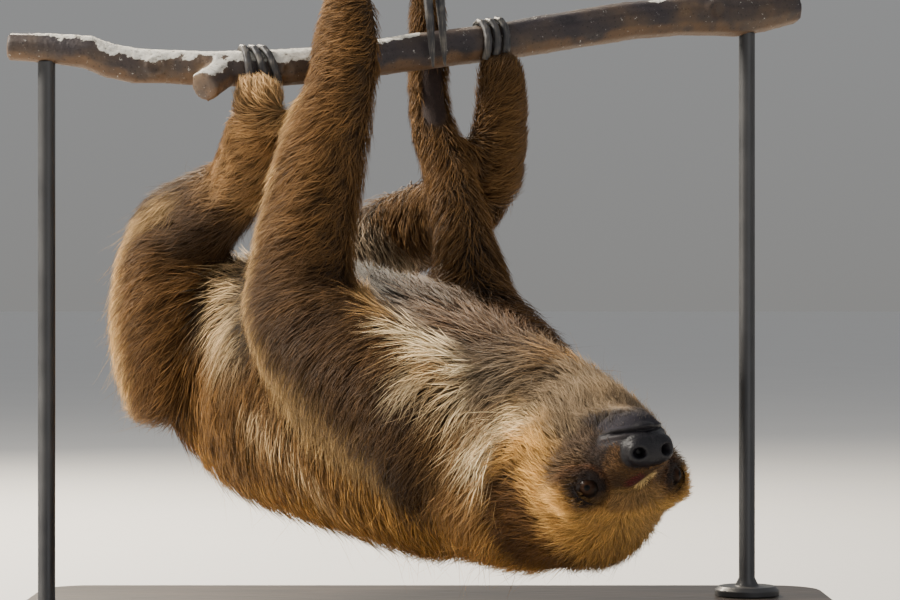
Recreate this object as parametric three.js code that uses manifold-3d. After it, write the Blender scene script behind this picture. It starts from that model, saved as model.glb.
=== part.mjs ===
// A life-size museum model of a two-toed sloth hanging under a branch, on a display stand.
//
// Frame: millimetres, +Z up, origin at the centre of the stand's underside, +X along the
// branch's general direction, and the animal's face turned towards -Y.
//
// The animal's solids end where its coat ends.  Each limb is modelled whole as tapering
// lofts and then parted by thin planar cuts at its joints.  The left side is the one
// towards -X and -Y, because the animal hangs on its back.
import * as THREE from "three";
import { mergeVertices } from "three/addons/utils/BufferGeometryUtils.js";
import Module from "manifold-3d";

const wasm = await Module();
wasm.setup();

// ---------------------------------------------------------------- driving dimensions
const GAP = 0.4; // between neighbouring pieces
const CUT = 0.6; // width of the thin cuts that part a limb or the neck

const BASE = { long: 600, deep: 520, thick: 20, corner: 36, bevel: 4 };
const ROD = { radius: 6, footRadius: 24, footThick: 7, footSlope: 3 };

// The branch: a line of points and the places where it swells at a knot.
const BRANCH_RADIUS = 13.1; // at the middle of the stand
const BRANCH_TAPER = 0.0075; // gain in radius for each millimetre towards +X
const BRANCH_LINE = [
  [-288, 0, 414], [-240, 0, 411], [-211, 1, 402], [-176, 2, 400], [-116, 6, 399],
  [-58, 24, 405], [-2, 57, 416], [57, 90, 426], [139, 130, 443], [200, 157, 450],
  [231, 171, 452], [272, 190, 461],
];
const BRANCH_KNOTS = [
  { at: -205, rise: 0.8, reach: 16 },
  { at: -140, rise: 1.0, reach: 20 },
  { at: 231, rise: 1.8, reach: 16 },
];
const BRANCH_END_TAPER = 1.2;
const STUB = { at: [-138, 4, 398], tip: [-152, -20, 385], radius: 10, tipRadius: 11 };
const ROD_AT = [-262, 236]; // X of the two rods, under the branch

// The trunk, from the chest to the rump: centre, half width and half thickness.
const TRUNK = [
  { at: [58, -126, 145], wide: 72, thick: 74 },
  { at: [15, -65, 155], wide: 96, thick: 87 },
  { at: [-56, 45, 174], wide: 99, thick: 94 },
  { at: [-104, 114, 185], wide: 82, thick: 95 },
  { at: [-138, 164, 195], wide: 67, thick: 84 },
  { at: [-158, 190, 203], wide: 52, thick: 64 },
];
const NECK = [
  { at: [34, -96, 150], wide: 74, thick: 80 },
  { at: [72, -140, 138], wide: 67, thick: 77 },
  { at: [96, -168, 131], wide: 59, thick: 71 },
];
const NECK_CUTS = { base: 0.38, top: 0.86 }; // shares of the neck's length

// Limb joints, with the half widths of the coat's outline there: across the picture of
// the limb from the animal's side, and square to that.
const ARMS = {
  left: {
    upper: [
      { at: [6, -135, 155], wide: 50, thick: 50 },
      { at: [-46, -98, 190], wide: 46, thick: 46 },
      { at: [-86, -60, 226], wide: 42, thick: 40 },
    ],
    lower: [
      { at: [-86, -60, 226], wide: 41, thick: 38 },
      { at: [-83, -45, 275], wide: 36.5, thick: 33 },
      { at: [-72, -28, 335], wide: 34, thick: 28 },
      { at: [-58, -20, 385], wide: 27.5, thick: 24 },
    ],
    end: [
      { at: [-58, -20, 385], wide: 27, thick: 23 },
      { at: [-54, -15, 422], wide: 24, thick: 19 },
      { at: [-53, -9, 450], wide: 18, thick: 15 },
      { at: [-53, 10, 466], wide: 12, thick: 9 },
    ],
  },
  right: {
    upper: [
      { at: [72, -75, 164], wide: 46, thick: 48 },
      { at: [52, -36, 200], wide: 39, thick: 42 },
      { at: [34, 5, 232], wide: 33, thick: 34 },
    ],
    lower: [
      { at: [34, 5, 232], wide: 32, thick: 34 },
      { at: [26, 32, 275], wide: 25, thick: 28 },
      { at: [15, 65, 325], wide: 21, thick: 24 },
      { at: [5, 80, 352], wide: 18.5, thick: 20 },
    ],
    end: [
      { at: [5, 80, 352], wide: 18.5, thick: 20 },
      { at: [0, 91, 385], wide: 16, thick: 18 },
      { at: [-1, 91, 440], wide: 14.5, thick: 16 },
      { at: [-1, 80, 471], wide: 12, thick: 10 },
    ],
  },
};
const LEGS = {
  left: {
    upper: [
      { at: [-186, 122, 182], wide: 43, thick: 58 },
      { at: [-189, 114, 235], wide: 44, thick: 56 },
      { at: [-184, 118, 288], wide: 40, thick: 42 },
    ],
    lower: [
      { at: [-184, 118, 288], wide: 38, thick: 38 },
      { at: [-156, 86, 307], wide: 34, thick: 30 },
      { at: [-132, 50, 322], wide: 27, thick: 24 },
    ],
    end: [
      { at: [-132, 50, 322], wide: 25, thick: 24 },
      { at: [-121, 16, 352], wide: 22, thick: 19 },
      { at: [-116, -12, 374], wide: 19, thick: 13 },
      { at: [-115, -12, 386], wide: 17, thick: 8 },
    ],
  },
  right: {
    upper: [
      { at: [-112, 182, 192], wide: 52, thick: 58 },
      { at: [-80, 198, 246], wide: 47, thick: 50 },
      { at: [-26, 202, 292], wide: 36, thick: 38 },
    ],
    lower: [
      { at: [-26, 202, 292], wide: 34, thick: 36 },
      { at: [14, 156, 306], wide: 32, thick: 36 },
      { at: [44, 112, 324], wide: 24, thick: 28 },
    ],
    end: [
      { at: [44, 112, 324], wide: 23, thick: 26 },
      { at: [50, 88, 358], wide: 21.5, thick: 20 },
      { at: [51, 72, 396], wide: 19, thick: 14 },
      { at: [50, 72, 407], wide: 17, thick: 9 },
    ],
  },
};

// Claws: their place along the branch from the middle of the hand or foot.
const CLAW = { tip: 0.9, air: 0.4, taper: 0.38 }; // tip: half its width there
const FOOT_CLAW = {
  wide: 3.1, // half sizes at the root
  thick: 2.7,
  start: -42, // degrees round the branch, from straight out towards -Y
  sweep: 215,
  left: [{ at: -7.6, lean: -8.6 }, { at: 1, lean: -12 }, { at: 9.2, lean: -15.4 }],
  right: [{ at: -17.2, lean: 9 }, { at: -10.5, lean: 9 }, { at: -3.8, lean: 9 }],
};
const HAND_CLAW = {
  wide: 3.9,
  thick: 3.8,
  line: [[12, 57], [-8, 54], [-18.5, 36], [-20.5, 14], [-18, -13]], // across the branch and up
  lean: { left: 0, right: 7.5 }, // how far a claw drifts along the branch
  left: [-4.2, 4.2],
  right: [-3.2, 5],
};

// The head, in its own axes from the middle of the skull: left, forward, dorsal.
const HEAD = { at: [109, -185, 131], yaw: 25, pitch: 5, roll: 6 };
const HEAD_BLOBS = [
  { at: [0, -4, 2], size: [51, 45, 43] }, // skull between the temples, in its coat
  { at: [0, -20, 15], size: [46, 46, 46] }, // crown
  { at: [8, -34, -8], size: [58, 28, 66] }, // ruff, turned a little with the neck
  { at: [28, -16, -10], size: [27, 33, 33] }, // left cheek
  { at: [-28, -16, -10], size: [27, 33, 33] }, // right cheek
  { at: [27, 22, 10], size: [19, 19, 18] }, // left brow
  { at: [-27, 22, 10], size: [19, 19, 18] }, // right brow
  { at: [0, 18, -4], size: [36, 32, 34] }, // face
  { at: [0, 45, -13], size: [23, 24, 18] }, // muzzle
  { at: [0, 40, -28], size: [19, 24, 13] }, // chin
  { at: [2, -16, -30], size: [42, 32, 38] }, // throat
];
const HEAD_BLEND = 12;
const DETAIL = { skull: 7, nose: 2, eye: 1, ear: 1 }; // how finely round pieces are divided
const NOSE = { kind: "nose", at: [0, 63.5, -12], size: [17.5, 10, 11] };
const EYE = { kind: "eye", at: [28.4, 36, 5.4], size: [7.2, 7.2, 7.2] }; // the left one
const EAR = { kind: "ear", at: [50.6, -8.8, 7.8], size: [7, 11, 12] }; // the left one

// How each kind of loft is divided: sides round it, and millimetres from ring to ring.
const END_LOFT = { sides: 12, pitch: 17 };
const TRUNK_LOFT = { across: new THREE.Vector3(0.76, 0.64, 0), sides: 22, pitch: 26, round: 0.8 };
const NECK_LOFT = { ...TRUNK_LOFT, sides: 20, pitch: 20 };
const CLAW_LOFT = { sides: 6, steps: 8 };

const COLOURS = {
  coat: 0x9a7a52, face: 0xb99463, belly: 0xa89a84, limb: 0x7a5a3c, skin: 0x2e2c33,
  claw: 0x4a4a50, eye: 0x1c120c, bark: 0x6d6058, stand: 0x2b2725, steel: 0x3a3a3c,
};

// ---------------------------------------------------------------- helpers
const V = (p) => new THREE.Vector3(...p);
const X = new THREE.Vector3(1, 0, 0);
const Z = new THREE.Vector3(0, 0, 1);

// A closed mesh made of plain positions, as a solid that can be joined and cut.
function solid(geometry) {
  const g = geometry.clone();
  for (const name of ["normal", "uv"]) g.deleteAttribute(name);
  const merged = mergeVertices(g, 1e-3);
  return new wasm.Manifold(
    new wasm.Mesh({
      numProp: 3,
      vertProperties: new Float32Array(merged.attributes.position.array),
      triVerts: new Uint32Array(merged.index.array),
    }),
  );
}

function geometryOf(manifold) {
  const mesh = manifold.getMesh();
  const places = new Float32Array(mesh.numVert * 3);
  for (let i = 0; i < mesh.numVert; i++)
    places.set(mesh.vertProperties.subarray(i * mesh.numProp, i * mesh.numProp + 3), i * 3);
  const g = new THREE.BufferGeometry();
  g.setAttribute("position", new THREE.BufferAttribute(places, 3));
  g.setIndex(new THREE.BufferAttribute(new Uint32Array(mesh.triVerts), 1));
  g.computeVertexNormals();
  return g;
}

// Rings of points joined into one closed surface, with a pole at each end.
function skinOfRings(rings, first, last) {
  const sides = rings[0].length;
  const places = [first, ...rings.flat(), last].flatMap((p) => p.toArray());
  const at = (ring, i) => 1 + ring * sides + (i % sides);
  const end = 1 + rings.length * sides;
  const faces = [];
  for (let i = 0; i < sides; i++) {
    faces.push(0, at(0, i + 1), at(0, i));
    faces.push(end, at(rings.length - 1, i), at(rings.length - 1, i + 1));
    for (let r = 0; r + 1 < rings.length; r++) {
      faces.push(at(r, i), at(r, i + 1), at(r + 1, i + 1));
      faces.push(at(r, i), at(r + 1, i + 1), at(r + 1, i));
    }
  }
  const g = new THREE.BufferGeometry();
  g.setAttribute("position", new THREE.Float32BufferAttribute(places, 3));
  g.setIndex(faces);
  return g;
}

// A value that runs smoothly through a list of values, for a share from 0 to 1.
function eased(values, share) {
  const line = new THREE.CatmullRomCurve3(values.map((v, i) => new THREE.Vector3(v, i, 0)));
  line.curveType = "catmullrom";
  line.tension = 0.5;
  return line.getPoint(share).x;
}

// A tapering loft along a smooth line.  across is the direction in which stations are wide,
// round is how far an end bulges as a share of its smaller radius.
function loft(stations, { across = X, sides = 12, pitch = 26, round = 0.9, grow = 0 } = {}) {
  const line = new THREE.CatmullRomCurve3(stations.map((s) => V(s.at)), false, "catmullrom", 0.5);
  const steps = Math.max(3, Math.round(line.getLength() / pitch));
  const ringAt = (share, move, scale) => {
    const middle = line.getPoint(share).add(move);
    const along = line.getTangent(share);
    const side = across.clone().addScaledVector(along, -across.dot(along)).normalize();
    const up = along.clone().cross(side);
    const wide = (eased(stations.map((s) => s.wide), share) + grow) * scale;
    const thick = (eased(stations.map((s) => s.thick), share) + grow) * scale;
    return Array.from({ length: sides }, (_, i) => {
      const a = (i / sides) * 2 * Math.PI;
      return middle
        .clone()
        .addScaledVector(side, Math.cos(a) * wide)
        .addScaledVector(up, Math.sin(a) * thick);
    });
  };
  const CAP = 0.78; // the one ring of a rounded end, as a share of its full width
  const reach = (s) => (Math.min(s.wide, s.thick) + grow) * round;
  const start = line.getTangent(0).multiplyScalar(-reach(stations[0]));
  const finish = line.getTangent(1).multiplyScalar(reach(stations.at(-1)));
  const capDepth = Math.sqrt(1 - CAP * CAP);
  const rings = [ringAt(0, start.clone().multiplyScalar(capDepth), CAP)];
  for (let i = 0; i <= steps; i++) rings.push(ringAt(i / steps, new THREE.Vector3(), 1));
  rings.push(ringAt(1, finish.clone().multiplyScalar(capDepth), CAP));
  return solid(skinOfRings(rings, line.getPoint(0).add(start), line.getPoint(1).add(finish)));
}

// A thick block that begins half a cut short of a plane, for trimming what lies past it.
function blockBeyond(at, normal) {
  const SIZE = 320;
  const g = new THREE.BoxGeometry(SIZE, SIZE, SIZE);
  g.translate(0, 0, (SIZE - CUT) / 2);
  g.applyQuaternion(new THREE.Quaternion().setFromUnitVectors(Z, normal));
  g.translate(...at.toArray());
  return solid(g);
}

// Trims away what lies past a plane, on the side that its normal points to.
const trimmed = (piece, at, normal) => piece.subtract(blockBeyond(at, normal));

// Cuts a piece by its neighbours and keeps its main body.
function fitted(piece, ...neighbours) {
  const left = neighbours.reduce((rest, other) => rest.subtract(other), piece);
  return left.decompose().reduce((a, b) => (a.volume() > b.volume() ? a : b));
}

const direction = (a, b) => V(b).sub(V(a)).normalize();
const between = (a, b, share) => V(a).lerp(V(b), share);

// ---------------------------------------------------------------- stand and branch
function makeBase() {
  const w = BASE.long / 2 - BASE.bevel;
  const d = BASE.deep / 2 - BASE.bevel;
  const r = BASE.corner;
  const outline = new THREE.Shape();
  outline.moveTo(-w + r, -d);
  outline.lineTo(w - r, -d);
  outline.absarc(w - r, -d + r, r, -Math.PI / 2, 0);
  outline.absarc(w - r, d - r, r, 0, Math.PI / 2);
  outline.absarc(-w + r, d - r, r, Math.PI / 2, Math.PI);
  outline.absarc(-w + r, -d + r, r, Math.PI, Math.PI * 1.5);
  const g = new THREE.ExtrudeGeometry(outline, {
    depth: BASE.thick - BASE.bevel,
    bevelEnabled: true,
    bevelThickness: BASE.bevel,
    bevelSize: BASE.bevel,
    bevelSegments: 1,
    curveSegments: 4,
  });
  // The lower bevel is cut off flat, so that the plate stands on its full outline.
  const below = new THREE.BoxGeometry(BASE.long * 2, BASE.deep * 2, BASE.thick);
  return solid(g).subtract(solid(below.translate(0, 0, -BASE.thick / 2)));
}

const branchLine = new THREE.CatmullRomCurve3(BRANCH_LINE.map(V), false, "catmullrom", 0.5);

function branchPointAt(x) {
  let low = 0;
  let high = 1;
  for (let i = 0; i < 30; i++) {
    const mid = (low + high) / 2;
    if (branchLine.getPoint(mid).x < x) low = mid;
    else high = mid;
  }
  return { at: branchLine.getPoint(low), along: branchLine.getTangent(low) };
}

function branchRadius(x) {
  const swell = BRANCH_KNOTS.reduce(
    (sum, k) => sum + k.rise * Math.exp(-(((x - k.at) / k.reach) ** 2)),
    0,
  );
  const ends = [BRANCH_LINE[0][0], BRANCH_LINE.at(-1)[0]];
  const nearEnd = ends.reduce((sum, e) => sum + Math.exp(-(((x - e) / 40) ** 2)), 0);
  return BRANCH_RADIUS + BRANCH_TAPER * x + swell - BRANCH_END_TAPER * nearEnd;
}

function makeBranch(grow = 0) {
  const stations = BRANCH_LINE.map((at) => ({
    at,
    wide: branchRadius(at[0]),
    thick: branchRadius(at[0]) * 0.97,
  }));
  const stem = loft(stations, { across: Z, sides: 10, pitch: 32, round: 0.06, grow });
  const stub = loft(
    [
      { at: STUB.at, wide: STUB.radius, thick: STUB.radius },
      { at: STUB.tip, wide: STUB.tipRadius, thick: STUB.tipRadius },
    ],
    { across: Z, sides: 8, pitch: 14, round: 0.08, grow },
  );
  return stem.add(stub);
}

function makeRod(x, branchGrown) {
  const { at } = branchPointAt(x);
  const top = at.z - BASE.thick - GAP;
  const profile = [
    [0, 0],
    [ROD.footRadius, 0],
    [ROD.footRadius, ROD.footThick - ROD.footSlope],
    [ROD.footRadius - ROD.footSlope, ROD.footThick],
    [ROD.radius + ROD.footSlope, ROD.footThick],
    [ROD.radius, ROD.footThick + 2 * ROD.footSlope],
    [ROD.radius, top],
    [0, top],
  ].map((p) => new THREE.Vector2(...p));
  const g = new THREE.LatheGeometry(profile, 14);
  g.rotateX(Math.PI / 2);
  g.translate(at.x, at.y, BASE.thick + GAP);
  return solid(g).subtract(branchGrown);
}

// ---------------------------------------------------------------- head
function headAxes() {
  const rad = THREE.MathUtils.degToRad;
  const [y, p, r] = [rad(HEAD.yaw), rad(HEAD.pitch), rad(HEAD.roll)];
  const forward = new THREE.Vector3(
    Math.sin(y) * Math.cos(p), -Math.cos(y) * Math.cos(p), Math.sin(p));
  const level = new THREE.Vector3(-Math.cos(y), -Math.sin(y), 0);
  const under = forward.clone().cross(level);
  const left = level.multiplyScalar(Math.cos(r)).addScaledVector(under, Math.sin(r));
  const dorsal = forward.clone().cross(left);
  // left, forward, dorsal read as x, y, z are left-handed, so the matrix mirrors points.
  return new THREE.Matrix4().makeBasis(left, forward, dorsal).setPosition(V(HEAD.at));
}
const HEAD_FRAME = headAxes();

function ellipsoidDistance(p, blob, grow) {
  const size = V(blob.size).addScalar(grow);
  const q = p.clone().sub(V(blob.at)).divide(size);
  const k = q.length();
  const steep = q.divide(size).length();
  return steep < 1e-6 ? -size.x : (k * (k - 1)) / steep;
}

function headDistance(p, grow = 0) {
  return HEAD_BLOBS.map((b) => ellipsoidDistance(p, b, grow)).reduce((a, b) => {
    const h = Math.max(HEAD_BLEND - Math.abs(a - b), 0) / HEAD_BLEND;
    return Math.min(a, b) - (h * h * HEAD_BLEND) / 4;
  });
}

// Where a ray from the middle of the skull leaves the head, in the head's own axes.
function headSurface(aim, grow = 0) {
  const way = aim.clone().normalize();
  let reach = 130;
  while (headDistance(way.clone().multiplyScalar(reach), grow) > 0) reach -= 2;
  let inside = reach;
  let outside = reach + 2;
  for (let i = 0; i < 20; i++) {
    const mid = (inside + outside) / 2;
    if (headDistance(way.clone().multiplyScalar(mid), grow) > 0) outside = mid;
    else inside = mid;
  }
  return way.multiplyScalar(inside);
}

function mirrored(geometry) {
  const index = geometry.index.array;
  for (let i = 0; i < index.length; i += 3) [index[i + 1], index[i + 2]] = [index[i + 2], index[i + 1]];
  return geometry;
}

// A round mesh in the head's axes, moved into place there.
function intoHead(geometry) {
  for (const name of ["normal", "uv"]) geometry.deleteAttribute(name);
  return solid(mirrored(mergeVertices(geometry, 1e-4)).applyMatrix4(HEAD_FRAME));
}

function makeSkull(grow = 0) {
  const FACE_DENSITY = 0.45; // draws the mesh's vertices towards the face
  const g = new THREE.IcosahedronGeometry(1, DETAIL.skull);
  const place = g.attributes.position;
  for (let i = 0; i < place.count; i++) {
    const aim = new THREE.Vector3().fromBufferAttribute(place, i);
    aim.y += FACE_DENSITY;
    place.setXYZ(i, ...headSurface(aim, grow).toArray());
  }
  return intoHead(g);
}

function roundPiece(blob, detail, grow = 0) {
  const g = new THREE.IcosahedronGeometry(1, detail);
  g.scale(...V(blob.size).addScalar(grow).toArray());
  g.translate(...blob.at);
  return intoHead(g);
}

// The copy of a left piece's shape that belongs on the given side.
function onSide(blob, side) {
  const [left, forward, dorsal] = blob.at;
  return { ...blob, at: [side === "left" ? left : -left, forward, dorsal] };
}

// ---------------------------------------------------------------- limbs
// The three pieces of a limb, parted at the elbow or knee and at the wrist or ankle by
// planes that halve the bend there.
function makeLimb({ upper, lower, end }) {
  const bend = V(lower[0].at);
  const ankle = V(end[0].at);
  const bendNormal = direction(upper.at(-2).at, upper.at(-1).at)
    .add(direction(lower[0].at, lower[1].at))
    .normalize();
  const ankleNormal = direction(lower.at(-2).at, lower.at(-1).at)
    .add(direction(end[0].at, end[1].at))
    .normalize();
  const before = (normal) => normal.clone().negate();
  const middle = trimmed(loft(lower), bend, before(bendNormal));
  return [
    trimmed(loft(upper), bend, bendNormal),
    trimmed(middle, ankle, ankleNormal),
    trimmed(loft(end, END_LOFT), ankle, before(ankleNormal)),
  ];
}

// Half a claw's width or thickness, from its root at 0 to its tip at 1.
function clawHalf(base, share) {
  return CLAW.tip + (base - CLAW.tip) * Math.cos((share * Math.PI) / 2) ** CLAW.taper;
}

function clawTube(points, base) {
  const line = new THREE.CatmullRomCurve3(points, false, "catmullrom", 0.5);
  const { sides, steps } = CLAW_LOFT;
  const rings = [];
  for (let i = 0; i <= steps; i++) {
    const share = i / steps;
    const wide = clawHalf(base.wide, share);
    const thick = clawHalf(base.thick, share);
    const middle = line.getPoint(share);
    const along = line.getTangent(share);
    const side = X.clone().addScaledVector(along, -X.dot(along)).normalize();
    const up = along.clone().cross(side);
    rings.push(
      Array.from({ length: sides }, (_, k) => {
        const a = (k / sides) * 2 * Math.PI;
        return middle
          .clone()
          .addScaledVector(side, Math.cos(a) * wide)
          .addScaledVector(up, Math.sin(a) * thick);
      }),
    );
  }
  return solid(skinOfRings(rings, line.getPoint(0), line.getPoint(1)));
}

// Claws of a foot run round the branch from the side of the toes, over the top and down.
function footClawPath(x, lean) {
  const { at, along } = branchPointAt(x);
  const front = new THREE.Vector3(along.y, -along.x, 0).normalize();
  const up = front.clone().cross(along).normalize();
  const points = [];
  for (let i = 0; i <= CLAW_LOFT.steps; i++) {
    const share = i / CLAW_LOFT.steps;
    const a = THREE.MathUtils.degToRad(FOOT_CLAW.start + FOOT_CLAW.sweep * share);
    const ring = branchRadius(at.x) + CLAW.air + clawHalf(FOOT_CLAW.thick, share);
    points.push(
      at.clone()
        .addScaledVector(front, Math.cos(a) * ring)
        .addScaledVector(up, Math.sin(a) * ring)
        .addScaledVector(along, lean * share),
    );
  }
  return points;
}

const footClawPaths = (side, foot) =>
  FOOT_CLAW[side].map(({ at, lean }) => footClawPath(foot.at(-1).at[0] + at, lean));

// Claws of a hand start above the branch, where the fingers end, and come down beyond it.
function handClawPaths(side, hand) {
  const over = side === "left" ? -1 : 1;
  return HAND_CLAW[side].map((offset) => {
    const { at } = branchPointAt(hand.at(-1).at[0] + offset);
    return HAND_CLAW.line.map(([y, z], i) => {
      const drift = (HAND_CLAW.lean[side] * i) / (HAND_CLAW.line.length - 1);
      return new THREE.Vector3(at.x + drift, at.y + over * y, at.z + z);
    });
  });
}

// ---------------------------------------------------------------- assembly
const sloth = new THREE.Group();
sloth.name = "hanging_sloth";

function place(name, made, colour, roughness = 0.85, metalness = 0) {
  const look = new THREE.MeshStandardMaterial({ color: colour, roughness, metalness });
  const mesh = new THREE.Mesh(geometryOf(made), look);
  mesh.name = name;
  sloth.add(mesh);
}

const branch = makeBranch();
const branchGrown = makeBranch(GAP);
place("stand_base", makeBase(), COLOURS.stand, 0.4);
place("stand_rod_left", makeRod(ROD_AT[0], branchGrown), COLOURS.steel, 0.35, 0.8);
place("stand_rod_right", makeRod(ROD_AT[1], branchGrown), COLOURS.steel, 0.35, 0.8);
place("perch_branch", branch, COLOURS.bark);

// Trunk, neck and head run into one another and are parted by two planes across the neck.
const neckAlong = direction(NECK[0].at, NECK.at(-1).at);
const neckBack = neckAlong.clone().negate();
const [neckBase, neckTop] = Object.values(NECK_CUTS).map((share) =>
  between(NECK[0].at, NECK.at(-1).at, share),
);
const neckWhole = loft(NECK, NECK_LOFT);
const blobs = {
  eye_left: onSide(EYE, "left"), eye_right: onSide(EYE, "right"),
  ear_left: onSide(EAR, "left"), ear_right: onSide(EAR, "right"),
};
const socket = (blob) => roundPiece(blob, DETAIL[blob.kind], GAP);
const sockets = Object.values(blobs).map(socket);

place("trunk", trimmed(loft(TRUNK, TRUNK_LOFT), neckBase, neckAlong), COLOURS.coat);
const neck = trimmed(trimmed(neckWhole, neckBase, neckBack), neckTop, neckAlong);
place("neck", fitted(neck, ...sockets), COLOURS.coat);
place("head", fitted(trimmed(makeSkull(), neckTop, neckBack), socket(NOSE), ...sockets), COLOURS.face);
place("nose", roundPiece(NOSE, DETAIL.nose), COLOURS.skin, 0.45);
for (const side of ["left", "right"]) {
  place("eye_" + side, roundPiece(blobs["eye_" + side], DETAIL.eye), COLOURS.eye, 0.1);
  place("ear_" + side, roundPiece(blobs["ear_" + side], DETAIL.ear), COLOURS.face);
}
const bodyGrown = [
  loft(TRUNK, { ...TRUNK_LOFT, grow: GAP }),
  loft(NECK, { ...NECK_LOFT, grow: GAP }),
  makeSkull(GAP),
  branchGrown,
];

// Each limb, then its claws, which end where the hand or foot begins.
const limbs = [
  { names: ["upper_arm", "forearm", "hand"], set: ARMS, horn: HAND_CLAW, clawPaths: handClawPaths },
  { names: ["thigh", "shank", "foot"], set: LEGS, horn: FOOT_CLAW, clawPaths: footClawPaths },
];
for (const { names, set, horn, clawPaths } of limbs)
  for (const side of ["left", "right"]) {
    makeLimb(set[side]).forEach((piece, i) => {
      place(names[i] + "_" + side, fitted(piece, ...bodyGrown), COLOURS.limb);
    });
    const endGrown = loft(set[side].end, { ...END_LOFT, grow: GAP });
    clawPaths(side, set[side].end).forEach((path, i) => {
      const claw = fitted(clawTube(path, horn), endGrown, branchGrown);
      place(["claw", names[2], side, i + 1].join("_"), claw, COLOURS.claw, 0.35);
    });
  }

export default sloth;
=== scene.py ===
# %% [markdown]
# # A two-toed sloth hanging under a branch
#
# The object is a life-size museum model: the animal, a cut length of branch and a plain
# display stand.  The construction model already fixes where each piece is and how far its
# coat reaches.  This lesson gives it its surfaces: one soft skin, a coat of real tufts,
# eyes, claws, bark and a finished stand.  Everything is in metres, in the frame of the
# construction model, with the animal's left side towards -X and -Y.

import math

import bmesh
import bpy
import numpy as np
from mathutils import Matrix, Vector
from mathutils.bvhtree import BVHTree


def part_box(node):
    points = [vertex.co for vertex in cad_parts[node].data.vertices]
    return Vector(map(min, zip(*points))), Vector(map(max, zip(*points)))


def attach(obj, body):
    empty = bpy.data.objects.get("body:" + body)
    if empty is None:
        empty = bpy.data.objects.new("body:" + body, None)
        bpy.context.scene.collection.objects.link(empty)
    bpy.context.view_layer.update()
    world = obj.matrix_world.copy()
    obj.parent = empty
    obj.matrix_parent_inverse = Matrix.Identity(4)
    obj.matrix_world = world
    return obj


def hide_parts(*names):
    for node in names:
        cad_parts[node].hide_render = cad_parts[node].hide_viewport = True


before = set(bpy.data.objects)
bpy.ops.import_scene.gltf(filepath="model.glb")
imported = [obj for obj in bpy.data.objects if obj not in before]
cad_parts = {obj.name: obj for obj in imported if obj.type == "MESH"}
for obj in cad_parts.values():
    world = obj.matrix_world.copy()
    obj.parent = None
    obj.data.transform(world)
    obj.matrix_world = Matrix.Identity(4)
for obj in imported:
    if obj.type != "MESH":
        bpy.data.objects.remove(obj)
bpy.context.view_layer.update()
MM = 0.001

# %% [markdown]
# ## Small tools
#
# Much of the work is moving many points at once, so the points are kept as arrays.  A
# smooth step turns a measure into a share from 0 to 1, and a lattice noise gives random
# values that change gently from place to place, the same on every run.


# %% Shares and noise
def ease(value, low, high):
    """0 at low, 1 at high, and smooth in between.  low may be the larger one."""
    share = np.clip((value - low) / (high - low), 0, 1)
    return share * share * (3 - 2 * share)


def noise(points, size, seed):
    """Smooth random values from -1 to 1 that change over about size metres."""
    cell = np.floor(points / size).astype(np.int64)
    inside = points / size - cell
    inside = inside * inside * (3 - 2 * inside)
    total = np.zeros(len(points))
    for corner in np.ndindex(2, 2, 2):
        key = (cell + corner) @ np.array([73856093, 19349663, 83492791]) + seed * 6542989
        key = (key ^ (key >> 13)) * 1274126177
        value = ((key ^ (key >> 16)) & 0xFFFF) / 0x7FFF - 1
        total += value * np.prod(np.where(corner, inside, 1 - inside), axis=1)
    return total


def unit(vectors):
    return vectors / np.maximum(np.linalg.norm(vectors, axis=1), 1e-9)[:, None]


def mixed(value, other, share):
    """Rows of one table blended into another's, each by its own share."""
    return value * (1 - share)[:, None] + other * share[:, None]


# %% Points of a mesh
def points_of(mesh):
    flat = np.empty(len(mesh.vertices) * 3)
    mesh.vertices.foreach_get("co", flat)
    return flat.reshape(-1, 3)


def set_points(mesh, points):
    mesh.vertices.foreach_set("co", points.ravel())
    mesh.update()


def normals_of(mesh):
    flat = np.empty(len(mesh.vertices) * 3)
    mesh.vertex_normals.foreach_get("vector", flat)
    return flat.reshape(-1, 3)


def edges_of(mesh):
    flat = np.empty(len(mesh.edges) * 2, np.int64)
    mesh.edges.foreach_get("vertices", flat)
    return flat.reshape(-1, 2)


def spread(values, edges, rounds, share=0.5):
    """Moves each point's value towards the mean of its neighbours', some rounds."""
    table = values.reshape(len(values), -1).astype(float)
    a, b = edges.T
    ends, others = np.concatenate([a, b]), np.concatenate([b, a])
    near = np.bincount(ends, minlength=len(table))[:, None]
    for _ in range(rounds):
        sums = [np.bincount(ends, column[others], len(table)) for column in table.T]
        table = table + share * (np.stack(sums, 1) / np.maximum(near, 1) - table)
    return table.reshape(values.shape)


def keep_values(mesh, name, values, kind="FLOAT", domain="POINT"):
    """Stores one value for each point or face of a mesh, under a name."""
    field = {"FLOAT": "value", "INT": "value", "FLOAT_VECTOR": "vector", "FLOAT_COLOR": "color"}[kind]
    stored = mesh.attributes.new(name, kind, domain)
    stored.data.foreach_set(field, np.asarray(values, float if kind != "INT" else int).ravel())


# %% Pieces from nodes
def merged(node, grow=0.0):
    """A copy of a construction node with its loose triangles joined, grown by some metres."""
    shape = bmesh.new()
    shape.from_mesh(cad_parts[node].data)
    bmesh.ops.remove_doubles(shape, verts=shape.verts, dist=0.01 * MM)
    shape.normal_update()
    for v in shape.verts:
        v.co += v.normal * grow
    return shape


def mesh_of(name, shape):
    """A mesh from a finished shape, which is then let go."""
    mesh = bpy.data.meshes.new(name)
    shape.to_mesh(mesh)
    shape.free()
    return mesh


def piece_from(name, mesh):
    piece = bpy.data.objects.new(name, mesh)
    bpy.context.scene.collection.objects.link(piece)
    return piece


def finished_mesh(piece):
    """The piece's mesh with its modifiers worked in, as a plain mesh."""
    bpy.context.view_layer.update()
    graph = bpy.context.evaluated_depsgraph_get()
    return bpy.data.meshes.new_from_object(piece.evaluated_get(graph))


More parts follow.
